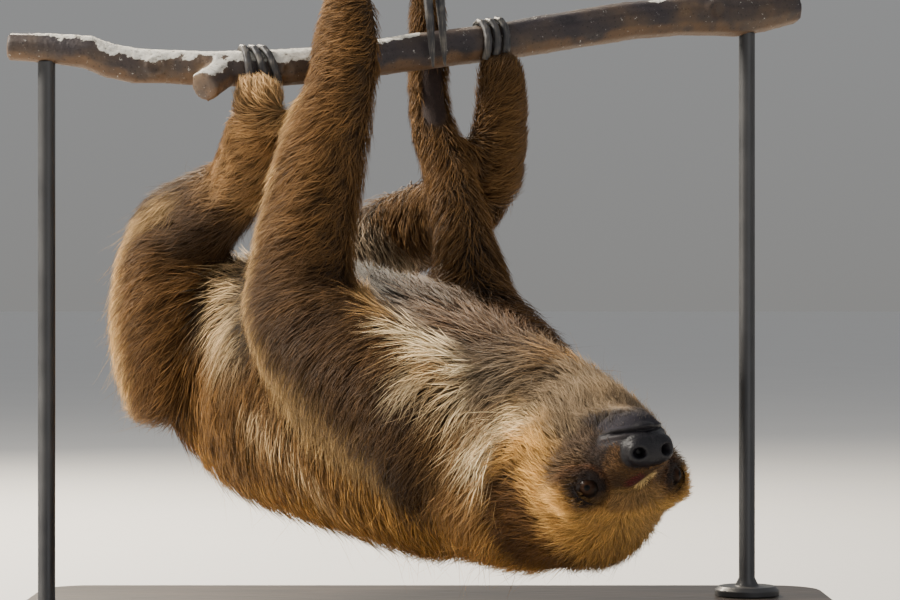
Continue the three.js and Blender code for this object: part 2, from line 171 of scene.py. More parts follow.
def remeshed(name, mesh, voxel):
    """An even quad mesh over the outside of a mesh whose pieces may overlap."""
    piece = piece_from(name, mesh)
    even = piece.modifiers.new("even", "REMESH")
    even.mode = "VOXEL"
    even.voxel_size = voxel
    even.use_smooth_shade = True
    made = finished_mesh(piece)
    bpy.data.objects.remove(piece)
    return made


def relaxed(points, edges, rounds, back):
    """Points smoothed in some rounds.  A small step back each time undoes the shrinking."""
    for _ in range(rounds):
        points = spread(points, edges, 1, 0.5)
        points = spread(points, edges, 1, -back)
    return points


def keep_largest(mesh):
    """Removes every loose body of a mesh but the largest, such as pockets shut inside it."""
    edges = edges_of(mesh)
    label = np.arange(len(mesh.vertices))
    while True:
        low = label[edges].min(axis=1)
        found = label.copy()
        for end in edges.T:
            np.minimum.at(found, end, low)
        found = found[found]
        if (found == label).all():
            break
        label = found
    main = np.bincount(label).argmax()
    shape = bmesh.new()
    shape.from_mesh(mesh)
    shape.verts.ensure_lookup_table()
    loose = [shape.verts[i] for i in np.flatnonzero(label != main)]
    bmesh.ops.delete(shape, geom=loose, context="VERTS")
    shape.to_mesh(mesh)
    shape.free()
    return len(loose)


# %% [markdown]
# ## The skin, first as the coat's outline
#
# On the real animal one hide covers head, body and limbs without a seam.  The solids of
# flesh end where the coat ends and stand a hair's breadth apart.  A voxel remesh alone
# would join grown copies of them, but it leaves ragged pits where their inner walls meet
# the surface.  So the copies are first united one at a time, which removes those walls, and
# the remesh then only makes the even quads that the later steps need.

# %% Join the flesh
LIMBS = ["upper_arm", "forearm", "hand", "thigh", "shank", "foot"]
FLESH = ["trunk", "neck", "head", "nose", "ear_left", "ear_right"]
FLESH += [f"{limb}_{side}" for limb in LIMBS for side in ("left", "right")]
CLOSE_GAPS = 0.7 * MM
SKIN_VOXEL = 3.7 * MM


def united(nodes, grow):
    """One closed mesh of some grown nodes, without walls inside."""
    whole = None
    for node_name in nodes:
        piece = piece_from(node_name, mesh_of(node_name, merged(node_name, grow)))
        if whole is None:
            whole = piece
            continue
        join = whole.modifiers.new("join", "BOOLEAN")
        join.operation, join.solver, join.object = "UNION", "MANIFOLD", piece
        mesh = finished_mesh(whole)
        whole.modifiers.clear()
        whole.data = mesh
        bpy.data.objects.remove(piece)
    mesh = whole.data
    bpy.data.objects.remove(whole)
    return mesh


skin_mesh = remeshed("outline", united(FLESH, CLOSE_GAPS), SKIN_VOXEL)
print("points in closed pockets:", keep_largest(skin_mesh))

set_points(skin_mesh, relaxed(points_of(skin_mesh), edges_of(skin_mesh), 8, 0.52))
print("outline:", len(skin_mesh.vertices), "points")

# %% [markdown]
# ## The head's own axes
#
# The face is easiest to describe from the middle of the skull, in millimetres to the
# animal's left, forward to its nose and dorsal to its crown.  The head is a smooth union
# of rounded volumes, written as a distance: below zero inside, above zero outside.  A
# distance can be grown, shrunk and joined, and any mesh can be drawn onto it.

# %% Head axes
HEAD_AT = np.array([109.0, -185.0, 131.0])
YAW, PITCH, ROLL = np.radians([25.0, 5.0, 6.0])


def head_axes():
    forward = np.array([math.sin(YAW) * math.cos(PITCH), -math.cos(YAW) * math.cos(PITCH), math.sin(PITCH)])
    level = np.array([-math.cos(YAW), -math.sin(YAW), 0])
    left = level * math.cos(ROLL) + np.cross(forward, level) * math.sin(ROLL)
    return np.array([left, forward, np.cross(forward, left)])


AXES = head_axes()


def to_head(points):
    return (points / MM - HEAD_AT) @ AXES.T


def from_head(points):
    return (points @ AXES + HEAD_AT) * MM


# %% Volumes of the head
EYE_AT = np.array([28.4, 36.0, 5.4])  # the left one; the right one mirrors it
EYE_RADIUS = 7.2
GAZE = unit(np.array([[0.56, 0.82, 0.0]]))[0]
NOSE_AT, NOSE_SIZE = np.array([-1.0, 63.3, -13.1]), np.array([15.9, 9.6, 9.9])
VOLUMES = [  # middle and half sizes, out to the tips of the coat
    ((0, -4, 2), (51, 45, 43)), ((0, -20, 15), (46, 46, 46)), ((8, -34, -8), (58, 28, 66)),
    ((28, -16, -10), (27, 33, 33)), ((-28, -16, -10), (27, 33, 33)),
    ((27, 22, 10), (19, 19, 18)), ((-27, 22, 10), (19, 19, 18)),
    ((0, 18, -4), (36, 32, 34)), ((0, 45, -13), (23, 24, 18)),
    ((0, 40, -28), (19, 24, 13)), ((2, -16, -30), (42, 32, 38)),
]


def ellipsoid(q, middle, size):
    d = q - np.array(middle, float)
    k = np.linalg.norm(d / size, axis=1)
    steep = np.linalg.norm(d / np.square(size), axis=1)
    return k * (k - 1) / np.maximum(steep, 1e-6)


def rounded_block(q, middle, size):
    """Like an ellipsoid with fuller corners."""
    d = q - np.array(middle, float)
    k = (np.abs(d / size) ** 2.7).sum(1) ** (1 / 2.7)
    return (k - 1) * np.linalg.norm(d, axis=1) / np.maximum(k, 1e-6)


def joined(a, b, soft):
    h = np.maximum(soft - np.abs(a - b), 0) / soft
    return np.minimum(a, b) - h * h * soft / 4


def head_outline(q):
    total = ellipsoid(q, *map(np.array, VOLUMES[0]))
    for middle, size in VOLUMES[1:]:
        total = joined(total, ellipsoid(q, middle, np.array(size)), 12)
    return total


# %% Landmarks of the face
MOUTH = np.array([  # from the middle of the lips to the left corner
    [0, 67.0, -25.2], [6, 66.0, -25.3], [12.5, 62.0, -25.5], [19.5, 53.5, -25.4], [23.5, 46.0, -24.0],
])


def mirrored(q):
    return q * np.array([-1, 1, 1])


def folded(q):
    """The same points with the right half of the face laid over the left."""
    return np.column_stack([np.abs(q[:, 0]), q[:, 1:]])


def line_distance(q, a, b):
    a, b = np.array(a, float), np.array(b, float)
    share = np.clip((q - a) @ (b - a) / ((b - a) @ (b - a)), 0, 1)
    return np.linalg.norm(q - a - share[:, None] * (b - a), axis=1)


def path_distance(q, stops):
    """How far each point is from a line drawn through some stops."""
    return np.min([line_distance(q, a, b) for a, b in zip(stops, stops[1:])], axis=0)


def mouth_distance(q):
    """How far each point is from the line between the lips."""
    return path_distance(folded(q), MOUTH)


def over_mouth(q):
    """How far each point is on the nose's side of the mouth line; below zero at the chin."""
    return q[:, 2] - np.interp(np.abs(q[:, 0]), MOUTH[:, 0], MOUTH[:, 2])


def eye_distance(q):
    """How far each point is from the left or right eye's line of sight, and along it."""
    d = folded(q) - EYE_AT
    along = d @ GAZE
    return np.linalg.norm(d - along[:, None] * GAZE, axis=1), along


# %% [markdown]
# ## Finer mesh on the face
#
# Lips, lids and nostrils need points half a millimetre apart, the flanks do not.  A finer
# remesh of the whole would waste most of its faces, so only the face's edges are divided,
# in three steps that close in on the eyes, nose and mouth.


# %% Divide the face
def face_level(points):
    """How many times the mesh is divided at each point, from 0 to 3."""
    q = to_head(points)
    around_eye, along = eye_distance(q)
    level = (q[:, 1] > 6) & (np.linalg.norm(q, axis=1) < 90)
    eye = level & (along > -12)
    mouth = mouth_distance(q)
    snout = (q[:, 1] > 57) & (q[:, 2] > -31) & (q[:, 2] < 0)
    finer = level & ((q[:, 1] > 42) | (eye & (around_eye < 18)) | (mouth < 12))
    finest = finer & ((eye & (around_eye < 11.5)) | (mouth < 4) | snout)
    return level.astype(int) + finer + finest


def divide_face(mesh):
    shape = bmesh.new()
    shape.from_mesh(mesh)
    for level in (1, 2, 3):
        wanted = face_level(np.array([v.co for v in shape.verts])) >= level
        shape.verts.index_update()
        chosen = [e for e in shape.edges if wanted[e.verts[0].index] and wanted[e.verts[1].index]]
        bmesh.ops.subdivide_edges(shape, edges=chosen, cuts=1, use_grid_fill=True)
    bmesh.ops.triangulate(shape, faces=[f for f in shape.faces if len(f.verts) > 4])
    shape.to_mesh(mesh)
    shape.free()


divide_face(skin_mesh)
edges = edges_of(skin_mesh)
outline = points_of(skin_mesh)
count = len(outline)
print("skin:", count, "points,", len(skin_mesh.polygons), "faces")

# %% [markdown]
# ## How deep the coat is
#
# Each point of the skin belongs to the nearest node of flesh.  That says how deep the coat
# is there, and later how long and dark its hair is.  The depth is then spread over the
# neighbours, so that it runs smoothly from the thin coat of a wrist to the thick coat of
# the back, and it shrinks to nothing where claws grow out.

# %% Which part each point belongs to
COAT_DEPTH = {  # millimetres from skin to the tips
    "trunk": 14, "neck": 12, "head": 7, "nose": 1, "ear": 4,
    "upper_arm": 10, "forearm": 8, "hand": 5, "thigh": 11, "shank": 8.5, "foot": 5,
}


def kind_of(node):
    return node.replace("_left", "").replace("_right", "")


def tree_over(nodes, grow=0.0):
    """A search tree over some nodes, and the number of the node of each of its faces."""
    places, faces, owner = [], [], []
    for number, node in enumerate(nodes):
        shape = merged(node, grow)
        shape.verts.index_update()
        faces += [[v.index + len(places) for v in f.verts] for f in shape.faces]
        owner += [number] * len(shape.faces)
        places += [v.co.copy() for v in shape.verts]
        shape.free()
    return BVHTree.FromPolygons(places, faces), owner


flesh_tree, flesh_owner = tree_over(FLESH)
part_of = np.array([flesh_owner[flesh_tree.find_nearest(Vector(p))[2]] for p in outline])
kinds = np.array([kind_of(node) for node in FLESH])
claw_nodes = [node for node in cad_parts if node.startswith("claw_")]
claw_tree, _ = tree_over(claw_nodes)
near_claw = np.array([claw_tree.find_nearest(Vector(p))[3] for p in outline]) / MM

head_points = np.isin(kinds[part_of], ["head", "nose", "ear"])
q_outline = to_head(outline)
depth = np.array([COAT_DEPTH[kinds[k]] for k in part_of], float)
depth = spread(depth, edges, 30) * ease(near_claw, 1, 15)
depth = np.maximum(depth, 0.4)
print("coat depth:", round(float(depth.min()), 1), "to", round(float(depth.max()), 1), "mm")

# %% Sink the skin under its coat
STEPS = 6
deep = ease(depth, 4, 9)  # a smoother skin is enough under a deep coat
inner = outline.copy()
for _ in range(STEPS):
    set_points(skin_mesh, inner)
    inward = -normals_of(skin_mesh)
    inward = unit(mixed(inward, spread(inward, edges, 8), deep))
    inner += inward * (depth / STEPS * MM)[:, None]
    inner = mixed(spread(inner, edges, 1, 0.35), spread(inner, edges, 4, 0.5), deep)
set_points(skin_mesh, inner)


# %% [markdown]
# ## The face
#
# A face could be sculpted by hand, but then it could not be remade.  Here the head's
# distance is shrunk by the depth of the coat, joined with the nose pad and with a lid round
# each eyeball, and the mesh is drawn onto it.  Nostrils, the line of the lips and the
# openings of the lids are then pressed in along the surface's own direction.


# %% Shape of the bare face
THROAT_FILL = 0.55  # the share of the coat's depth that the skin takes back there


def throat(q):
    """1 behind the chin, where a thinner coat fills the hollow of the throat."""
    return ease(q[:, 2], -22, -33) * ease(q[:, 1], -8, 8) * ease(q[:, 1], 40, 32)


def head_coat(q):
    """Millimetres of coat on the head: hardly any on the muzzle, deep on the cheeks."""
    around_eye, along = eye_distance(q)
    bare = ease(around_eye, 14, 8) * ease(along, -6, 2)
    under = ease(q[:, 2], -26, -34) * ease(q[:, 1], 62, 50)
    deep = 7 * ease(q[:, 1], 54, 6) * (1 - 0.9 * bare) * (1 - THROAT_FILL * throat(q))
    return 0.7 + deep + 1.3 * under * ease(q[:, 1], 20, 40)


LID = 0.35  # how much further out than the eyeball the lids are


def bare_face(q):
    total = head_outline(q) + head_coat(q)
    total = joined(total, rounded_block(q, NOSE_AT, NOSE_SIZE), 2.4)
    lids = np.full(3, EYE_RADIUS + LID)
    return joined(total, ellipsoid(folded(q), EYE_AT, lids), 6)


def slope(q, distance):
    step = 0.05
    sides = [distance(q + step * axis) - distance(q - step * axis) for axis in np.eye(3)]
    return np.stack(sides, 1) / (2 * step)


def drawn_onto(q, distance, rounds):
    """Points moved onto the surface where a distance is zero."""
    for _ in range(rounds):
        way = slope(q, distance)
        q = q - way * (distance(q) / np.maximum((way**2).sum(1), 0.05))[:, None]
    return q


# %% Press in the features
NOSTRIL_AT = np.array([9.3, 71.5, -11.6])
NOSTRIL_AXIS = unit(np.array([[0.3, 0.94, 0.0]]))[0]
LID_OPEN = np.array([6.5, 5.4])  # half width and half height of the opening


def lid_opening(q):
    """Below 1 inside the opening of the lids, measured round the line of sight."""
    d = folded(q) - EYE_AT
    across = unit(np.cross(GAZE, [[0, 0, 1.0]]))[0]
    tall = np.cross(across, GAZE)
    return np.hypot(d @ across / LID_OPEN[0], d @ tall / LID_OPEN[1])


def lip_distance(q):
    """Below 1 on the rounded tip of the lower lip."""
    return np.linalg.norm((q - [0, 66.4, -28.0]) / [7.5, 6, 2.8], axis=1)


def features(q):
    """How far each point of the bare face moves in or out, and how far into the sockets."""
    out = unit(slope(q, bare_face))
    mouth, side = mouth_distance(q), over_mouth(q)
    front = ease(q[:, 1], 38, 46)
    move = -2.4 * np.exp(-((mouth / 0.9) ** 2)) * front
    move += 0.7 * np.exp(-(((mouth - 2.6) / 1.4) ** 2)) * front
    move -= 0.7 * ease(side, 0.3, -4) * ease(mouth, 16, 6) * front  # lower lip lies behind the upper
    move += 1.7 * ease(lip_distance(q), 1.25, 0.3)
    d = folded(q) - NOSTRIL_AT
    hole = np.linalg.norm((d - (d @ NOSTRIL_AXIS)[:, None] * NOSTRIL_AXIS) * [0.94, 1, 1.16], axis=1)
    ahead = q[:, 1] > 60
    move -= 8 * ease(hole, 4.3, 3.1) * ahead
    move += 0.35 * np.exp(-(((hole - 5.6) / 1.4) ** 2)) * ahead
    cleft = np.exp(-((q[:, 0] / 1.1) ** 2)) * ease(q[:, 2], -13, -18) * ease(q[:, 1], 58, 62)
    move -= 0.45 * cleft * (side > 0)
    around_eye, along = eye_distance(q)
    facing = ease(along, 0, 2.5)
    opening = lid_opening(q)
    move += 0.3 * np.exp(-(((opening - 1.2) / 0.15) ** 2)) * facing  # the lids' rim
    fold = np.exp(-(((around_eye - 9.6) / 1.5) ** 2)) * facing
    move -= 0.2 * fold
    socket = 5.6 * ease(opening, 1.07, 0.93) * facing
    sight = np.where(q[:, :1] < 0, mirrored(GAZE[None]), GAZE)
    return q + out * move[:, None] - sight * socket[:, None]


# %% Draw the face's mesh
FACE_FROM, FACE_FULL = -24, -8  # millimetres forward where the drawn shape fades in
face = head_points & (q_outline[:, 1] > FACE_FROM)
number = np.cumsum(face) - 1
face_edges = number[edges[face[edges].all(1)]]
q = drawn_onto(to_head(inner[face]), bare_face, 4)
for _ in range(4):
    q = drawn_onto(spread(q, face_edges, 2, 0.5), bare_face, 2)
drawn = q.copy()  # before the features, to place the markings by
q = spread(features(q), face_edges, 1, 0.2)
inside_head = ease(spread(head_points.astype(float), edges, 30)[face], 0.6, 0.97)
weight = ease(q_outline[face][:, 1], FACE_FROM, FACE_FULL) * inside_head
inner[face] = mixed(inner[face], from_head(q), weight)
fade = spread(face.astype(float), edges, 3)
blend = (fade > 0.02) & (fade < 0.98)
softened = spread(inner, edges, 4, 0.5)
inner[blend] = softened[blend]
set_points(skin_mesh, inner)
marks = q_outline.copy()
marks[face] = mixed(marks[face], drawn, weight)
depth[face] = depth[face] * (1 - weight) + head_coat(marks[face]) * weight
print("face:", int(face.sum()), "points drawn")

# %% [markdown]
# ## The lie of the coat
#
# A sloth spends its life upside down, and its hair is parted along the belly and runs
# down to the back, so that rain runs off.  On the forelimbs it trails from the wrist, on
# the feet it stands up towards the claws, and on the head it fans out from the bridge of
# the nose.  Each part gets a direction in space, which is laid flat on the skin and spread
# over the neighbours until it runs without breaks.

# %% Directions of hair
LIE = {  # in space, before it is laid on the skin
    "trunk": (0.05, 0, -1), "neck": (-0.55, 0.1, -0.8), "ear": (0, 0, -1), "nose": (0, 0, -1),
    "upper_arm_left": (-0.5, 0.05, -0.86), "upper_arm_right": (0.1, 0, -1),
    "forearm_left": (-0.78, 0.1, -0.6), "forearm_right": (-0.12, 0, -1),
    "hand_left": (-0.85, 0.2, -0.35), "hand_right": (-0.1, 0.1, -1),
    "thigh_left": (-0.72, 0.1, -0.68), "thigh_right": (0.2, 0, -1),
    "shank_left": (-0.9, 0.1, -0.45), "shank_right": (0.35, 0, -0.93),
    "foot_left": (-0.75, -0.1, -0.3), "foot_right": (0.75, -0.1, 0.4),
}
FAN_FROM = np.array([0, 54.0, 5.5])  # in the head's axes
TRUNK_MIDDLE = np.array([0.015, -0.065, 0.155])
TO_NECK, TO_RIGHT = np.array([0.64, -0.76, 0]), np.array([0.76, 0.64, 0])


def belly_lie(points):
    """Parted along the middle of the belly, and combed away from the neck."""
    parted = np.clip((points - TRUNK_MIDDLE) @ TO_RIGHT / (35 * MM), -1, 1)
    return -0.8 * TO_NECK + np.outer(parted, 0.6 * TO_RIGHT)


def lie_of(points, parts):
    names = [n if n in LIE else kind_of(n) for n in FLESH]
    way = np.array([LIE.get(n, (0, 0, -1)) for n in names], float)[parts]
    q = to_head(points)
    fan = unit(q - FAN_FROM)
    fan += np.outer(ease(q[:, 1], 30, -5) * ease(np.abs(q[:, 0]), 22, 40), [0, 0, -0.75])
    on_head = np.isin(kinds[parts], ["head", "nose", "ear"])
    way[on_head] = fan[on_head] @ AXES
    trunk = kinds[parts] == "trunk"
    drift = 0.45 * ease(points[:, 0], -0.08, -0.16) - 0.3 * ease(points[:, 0], -0.04, 0.04)
    way[trunk, 0] += drift[trunk]
    up = trunk * ease(outward[:, 2], 0.3, 0.7)
    way = mixed(way, belly_lie(points), up)
    reach = np.where(points[:, 0] < 0, 30, 18)  # the near foot's hair stands up further down
    rising = ease(near_claw, reach, 0.4 * reach) * (kinds[parts] == "foot")
    return way * (1 - rising)[:, None] + np.outer(rising, [0.05, 0, 1.1])


outward = normals_of(skin_mesh)
lie = lie_of(inner, part_of)
for _ in range(10):
    lie -= outward * (lie * outward).sum(1)[:, None]
    lie = spread(lie, edges, 4)
lie -= outward * (lie * outward).sum(1)[:, None]
swirl = 0.3 * noise(inner, 30 * MM, 3) + 0.22 * noise(inner, 13 * MM, 4)
lie = unit(lie * np.cos(swirl)[:, None] + np.cross(outward, lie) * np.sin(swirl)[:, None])
print("lie of the coat laid on", count, "points")

# %% Length and thickness of the coat
COAT_LENGTH = {  # millimetres
    "trunk": 44, "neck": 38, "head": 19, "nose": 3, "ear": 12,
    "upper_arm": 36, "forearm": 27, "hand": 17, "thigh": 38, "shank": 27, "foot": 18,
}
CHEEK_LENGTH, SNOUT_LENGTH = 22, 4.5
EYE_TUFTS, THROAT_EXTRA = 5, 3  # how much longer and deeper the coat is there
length = spread(np.array([COAT_LENGTH[kinds[k]] for k in part_of], float), edges, 24)
around_eye, along_eye = eye_distance(marks)
mouth, side = mouth_distance(marks), over_mouth(marks)
wide, forward = np.abs(marks[:, 0]), marks[:, 1]
short = np.where(side < -4, ease(forward, 26, 66), ease(forward, 8, 50))  # longer under the chin
on_head = CHEEK_LENGTH - (CHEEK_LENGTH - SNOUT_LENGTH) * short
length = np.where(head_points, on_head * (0.26 + 0.74 * ease(around_eye, 8, 22)), length)
beside_eye = ease(around_eye, 8, 10.5) * ease(around_eye, 21, 14) * ease(wide, 28, 34)
beside_eye *= head_points  # the fur stands up on the outer side of each eye
length = spread(length + EYE_TUFTS * beside_eye, edges, 3)
depth = depth + EYE_TUFTS * beside_eye + THROAT_EXTRA * throat(marks) * head_points
print("coat length:", round(float(length.min()), 1), "to", round(float(length.max()), 1), "mm")

# %% Bare skin
PADS = [  # of the palms and soles: middle, half sizes and the way they face
    ((4, 66, 392), (10, 30, 30), (0, -1, 0)), ((-54, 10, 420), (13, 30, 30), (0, 1, 0)),
    ((-116, 8, 366), (12, 30, 18), (0.1, 1, 0.3)), ((24, 76, 377), (9, 16, 10), (-1, -0.1, 0)),
]
nose_pad = ease(rounded_block(marks, NOSE_AT, NOSE_SIZE), 2.6, 1.2) * (forward > 54)
lips = ease(mouth, np.where(side > 0, 9.0, 2.8), np.where(side > 0, 6.0, 1.5))
lips *= ease(forward, 41, 47)
chin = ease(mouth, 21, 11) * ease(side, 0, -2) * ease(forward, 31, 42)
lip_tip = ease(lip_distance(marks), 1.35, 1.0)
eye_bare = ease(around_eye, 8.7, 7.3) * (along_eye > -2)
palm = np.zeros(count)
for middle, size, facing in PADS:
    off = (((inner / MM - middle) / size) ** 4).sum(1) ** 0.25  # a block with rounded corners
    turned = outward @ unit(np.array([facing], float))[0]
    palm = np.maximum(palm, ease(off, 1.05, 0.85) * ease(turned, 0.15, 0.45))
palm *= np.isin(kinds[part_of], ["hand", "foot"])
bare = np.clip(nose_pad + lips + lip_tip + 0.8 * chin + eye_bare + palm, 0, 1)
bare = np.where(head_points | (palm > 0), bare, 0)
furred = (1 - bare) * ease(near_claw, 0.3, 1.5)
print("bare skin on", int((bare > 0.5).sum()), "points")

# %% [markdown]
# ## Markings
#
# Skin and coat carry the same colours, so they are worked out once, on the skin, and each
# tuft takes the colour at its root.  The limbs are brown, the head golden, the brow cream
# and the belly and throat a pale grey-beige.  A dark ring and band run from each eye to the
# corner of the mouth.  Nose, lips and pads are blue-black bare skin.  Light and shade are
# painted in as well: cream highlights on the flank, chest and neck, gold on the near limbs'
# left sides and the underside of the back, a lighter inner thigh and upper lip, and painted
# shade on the far limbs, the near upper arm, elbow and shank, the belly, cheeks and muzzle.


# %% Colours by name
def paint(red, green, blue):
    """A linear colour from the three 0 to 255 values of a paint chart."""
    chart = np.array([red, green, blue]) / 255
    return np.where(chart <= 0.04045, chart / 12.92, ((chart + 0.055) / 1.055) ** 2.4)


# Some of these colours are painted light and shade: the far limbs' brown and the shaded brown are painted
# shade, the flank's and neck's creams are painted highlights, the edge and underside golds are painted
# light, the inner grey is lightened as painted light, the belly's darker colour is painted shade, the
# cheeks' grey and the muzzle's tan are darkened in part as painted shade, and the upper lip's grey is
# lightened in part as a painted sheen.
LIMB_BROWN, FAR_SHADED_BROWN, BACK_BROWN = paint(112, 83, 49), paint(84, 60, 35), paint(128, 93, 48)
FLANK_HIGHLIGHT_CREAM, BELLY_BEIGE, CHEST_GOLD = paint(232, 202, 154), paint(108, 93, 74), paint(178, 138, 88)
HEAD_GOLD, BROW_CREAM, CHEEK_GREY_AND_SHADE = paint(190, 148, 80), paint(190, 152, 90), paint(112, 98, 80)
CROWN_BROWN, MASK_BROWN, MUZZLE_TAN_AND_SHADE = paint(134, 92, 40), paint(44, 30, 22), paint(92, 66, 38)
NOSE_BLACK, LIP_BLACK, CHIN_BLUE = paint(26, 24, 28), paint(28, 25, 29), paint(46, 43, 49)
EYE_RING, PALM_BLACK, STAIN_RED = paint(28, 20, 18), paint(46, 34, 30), paint(88, 34, 32)
RING_RUST, CREAM_STRIPE, HIGHLIGHT_CREAM = paint(98, 60, 32), paint(206, 176, 118), paint(255, 234, 192)
UPPER_LIP_GREY_AND_SHEEN, TEMPLE_BROWN, SHOULDER_GOLD = paint(42, 36, 38), paint(80, 53, 25), paint(176, 140, 88)
SHADED_BROWN, WARM_MASK, FOOT_CREAM = paint(74, 54, 33), paint(76, 60, 46), paint(206, 172, 124)
UNDERSIDE_LIGHT_GOLD, RIM_LIGHT_GOLD, INNER_GREY_AND_LIGHT = paint(214, 162, 86), paint(214, 178, 120), paint(184, 166, 140)
BRIDGE_TAN, BELLY_PAINTED_SHADE = paint(118, 92, 64), paint(50, 42, 34)

PART_COLOUR = {
    "neck": CHEST_GOLD, "trunk": BACK_BROWN, "head": HEAD_GOLD, "nose": NOSE_BLACK, "ear": HEAD_GOLD,
    "upper_arm_left": SHADED_BROWN, "forearm_left": LIMB_BROWN, "hand_left": LIMB_BROWN,
    "thigh_left": LIMB_BROWN, "shank_left": SHADED_BROWN, "foot_left": CHEST_GOLD * 0.75,
    "upper_arm_right": FAR_SHADED_BROWN, "forearm_right": LIMB_BROWN, "hand_right": LIMB_BROWN,
    "thigh_right": FAR_SHADED_BROWN, "shank_right": LIMB_BROWN, "foot_right": LIMB_BROWN,
}

# %% Places of the markings, in millimetres
ELBOW = (-84, -84, 250)
FAR_EDGE = np.array([[4, 236], [15, 228], [26, 221], [38, 216], [55, 213], [70, 213.5]])  # x and z
SUNLIT = [(-9, -109, 214), (15, -130, 204), (37, -148, 197)]  # a painted highlight along the near edge of the chest
FRINGE = [(-118, -14, 181), (-95, -52, 166), (-79, -72, 143), (-72, -60, 118)]  # a painted highlight on the fur behind the arm
INNER_THIGH = [(-48, 177, 290), (-40, 171, 278), (-20, 187, 262)]
# All three streaks are painted light: two highlights, and the inner thigh's grey made lighter where the
# body shades it.
STREAKS = [  # a path, its colour, how wide it is and how strong
    (SUNLIT, HIGHLIGHT_CREAM, 11, 0.85), (FRINGE, FLANK_HIGHLIGHT_CREAM, 9, 0.7), (INNER_THIGH, INNER_GREY_AND_LIGHT, 26, 0.85),
]
NECK_HIGHLIGHTS = [  # middles and reaches of the painted highlights on the side of the neck
    ((6, -160, 207), 24), ((58, -200, 169), 22), ((38, -190, 158), 22), ((26, -172, 190), 20),
]
# The rest are in the head's axes.
TEMPLE = [(57, -20, 12), (44, -16, 29), (32, -16, 45)]
WIDE_BAND, BAND = [(34, 28, -5), (27, 36, -21)], [(27, 43, -4), (23.5, 48, -20)]
INNER_SIDE, BRIDGE = [(15, 51, 7), (26, 43, 6)], [(12, 42, 15), (-16, 43, 13)]
STAIN, STRIPE = [(6, 51, 6.5), (2, 55, 3.2)], [(0.5, 50, 7.4), (-5, 55.5, 2.8)]


# %% Paint the coat
def painted(colour, layers, where=1):
    """Colours laid over others one after another, each with its share at every point."""
    for other, share in layers:
        colour = mixed(colour, other, share * where)
    return colour


def is_part(*some):
    return np.isin(kinds[part_of], some)


def coat_layers():
    place = inner / MM
    x, _, z = place.T
    body = is_part("trunk", "neck")
    up = spread(outward[:, 2], edges, 20)
    belly = body * ease(up, 0.25, 0.75) * ease(inner[:, 0], 0.115, 0.07)
    yield BELLY_BEIGE, belly
    # painted shade on the belly towards its crest, on the part towards -X
    yield BELLY_PAINTED_SHADE, belly * ease(x, 24, -4)
    # near each upper arm the belly takes the arm's colour; on the far side that is the painted shade brown
    for arm, shade, reach in [("left", SHOULDER_GOLD, 22), ("right", FAR_SHADED_BROWN, 34)]:
        tree, _ = tree_over(["upper_arm_" + arm])
        off = np.array([tree.find_nearest(Vector(point))[3] for point in outline]) / MM
        yield shade, belly * ease(off, reach, 0.4 * reach)
    # the belly's far edge takes the far limbs' brown, itself a painted shade
    beyond = body * ease(z - np.interp(x, *FAR_EDGE.T), -15, -6) * ease(x, -10, 0) * ease(x, 95, 78)
    yield FAR_SHADED_BROWN, 0.95 * beyond
    # painted highlight: sunlight on the near flank between thigh and arm, on the side towards -Y
    sliver = is_part("trunk") * ease(z, 198, 224) * ease(np.abs(x + 128), 18, 8)
    yield FLANK_HIGHLIGHT_CREAM, 0.8 * sliver * ease(outward[:, 1], 0.3, -0.3)
    # painted highlights along the chest and behind the arm, and painted light on the inner thigh
    for stops, shade, reach, share in STREAKS:
        yield shade, share * ease(path_distance(place, stops), reach, 0.4 * reach)
    # painted highlights: cream spots where the light falls on the side of the neck and the shoulder
    for middle, reach in NECK_HIGHLIGHTS:
        off = np.linalg.norm(place - middle, axis=1)
        yield HIGHLIGHT_CREAM, 0.95 * ease(off, 1.15 * reach, 0.4 * reach)
    elbow = np.linalg.norm(place - ELBOW, axis=1)
    yield SHADED_BROWN, 0.8 * ease(elbow, 60, 20) * is_part("forearm")
    # painted rim light: the near limbs' sides that face -X are gold, as if lit from the left
    left = np.array([name.endswith("_left") for name in FLESH])[part_of]
    painted_light = ease(-spread(outward[:, 0], edges, 6), 0.5, 0.9) * left
    painted_light *= is_part("upper_arm", "forearm", "thigh", "shank")
    yield RIM_LIGHT_GOLD, 0.7 * painted_light * np.where(is_part("shank"), ease(x, -158, -184), 1)
    yield FOOT_CREAM, 0.85 * is_part("foot") * (x < 0) * ease(near_claw, 34, 8)
    # painted light: the downward-facing back is lighter, where the lamps above leave it in shade
    yield UNDERSIDE_LIGHT_GOLD, 0.85 * body * ease(up, -0.25, -0.7)


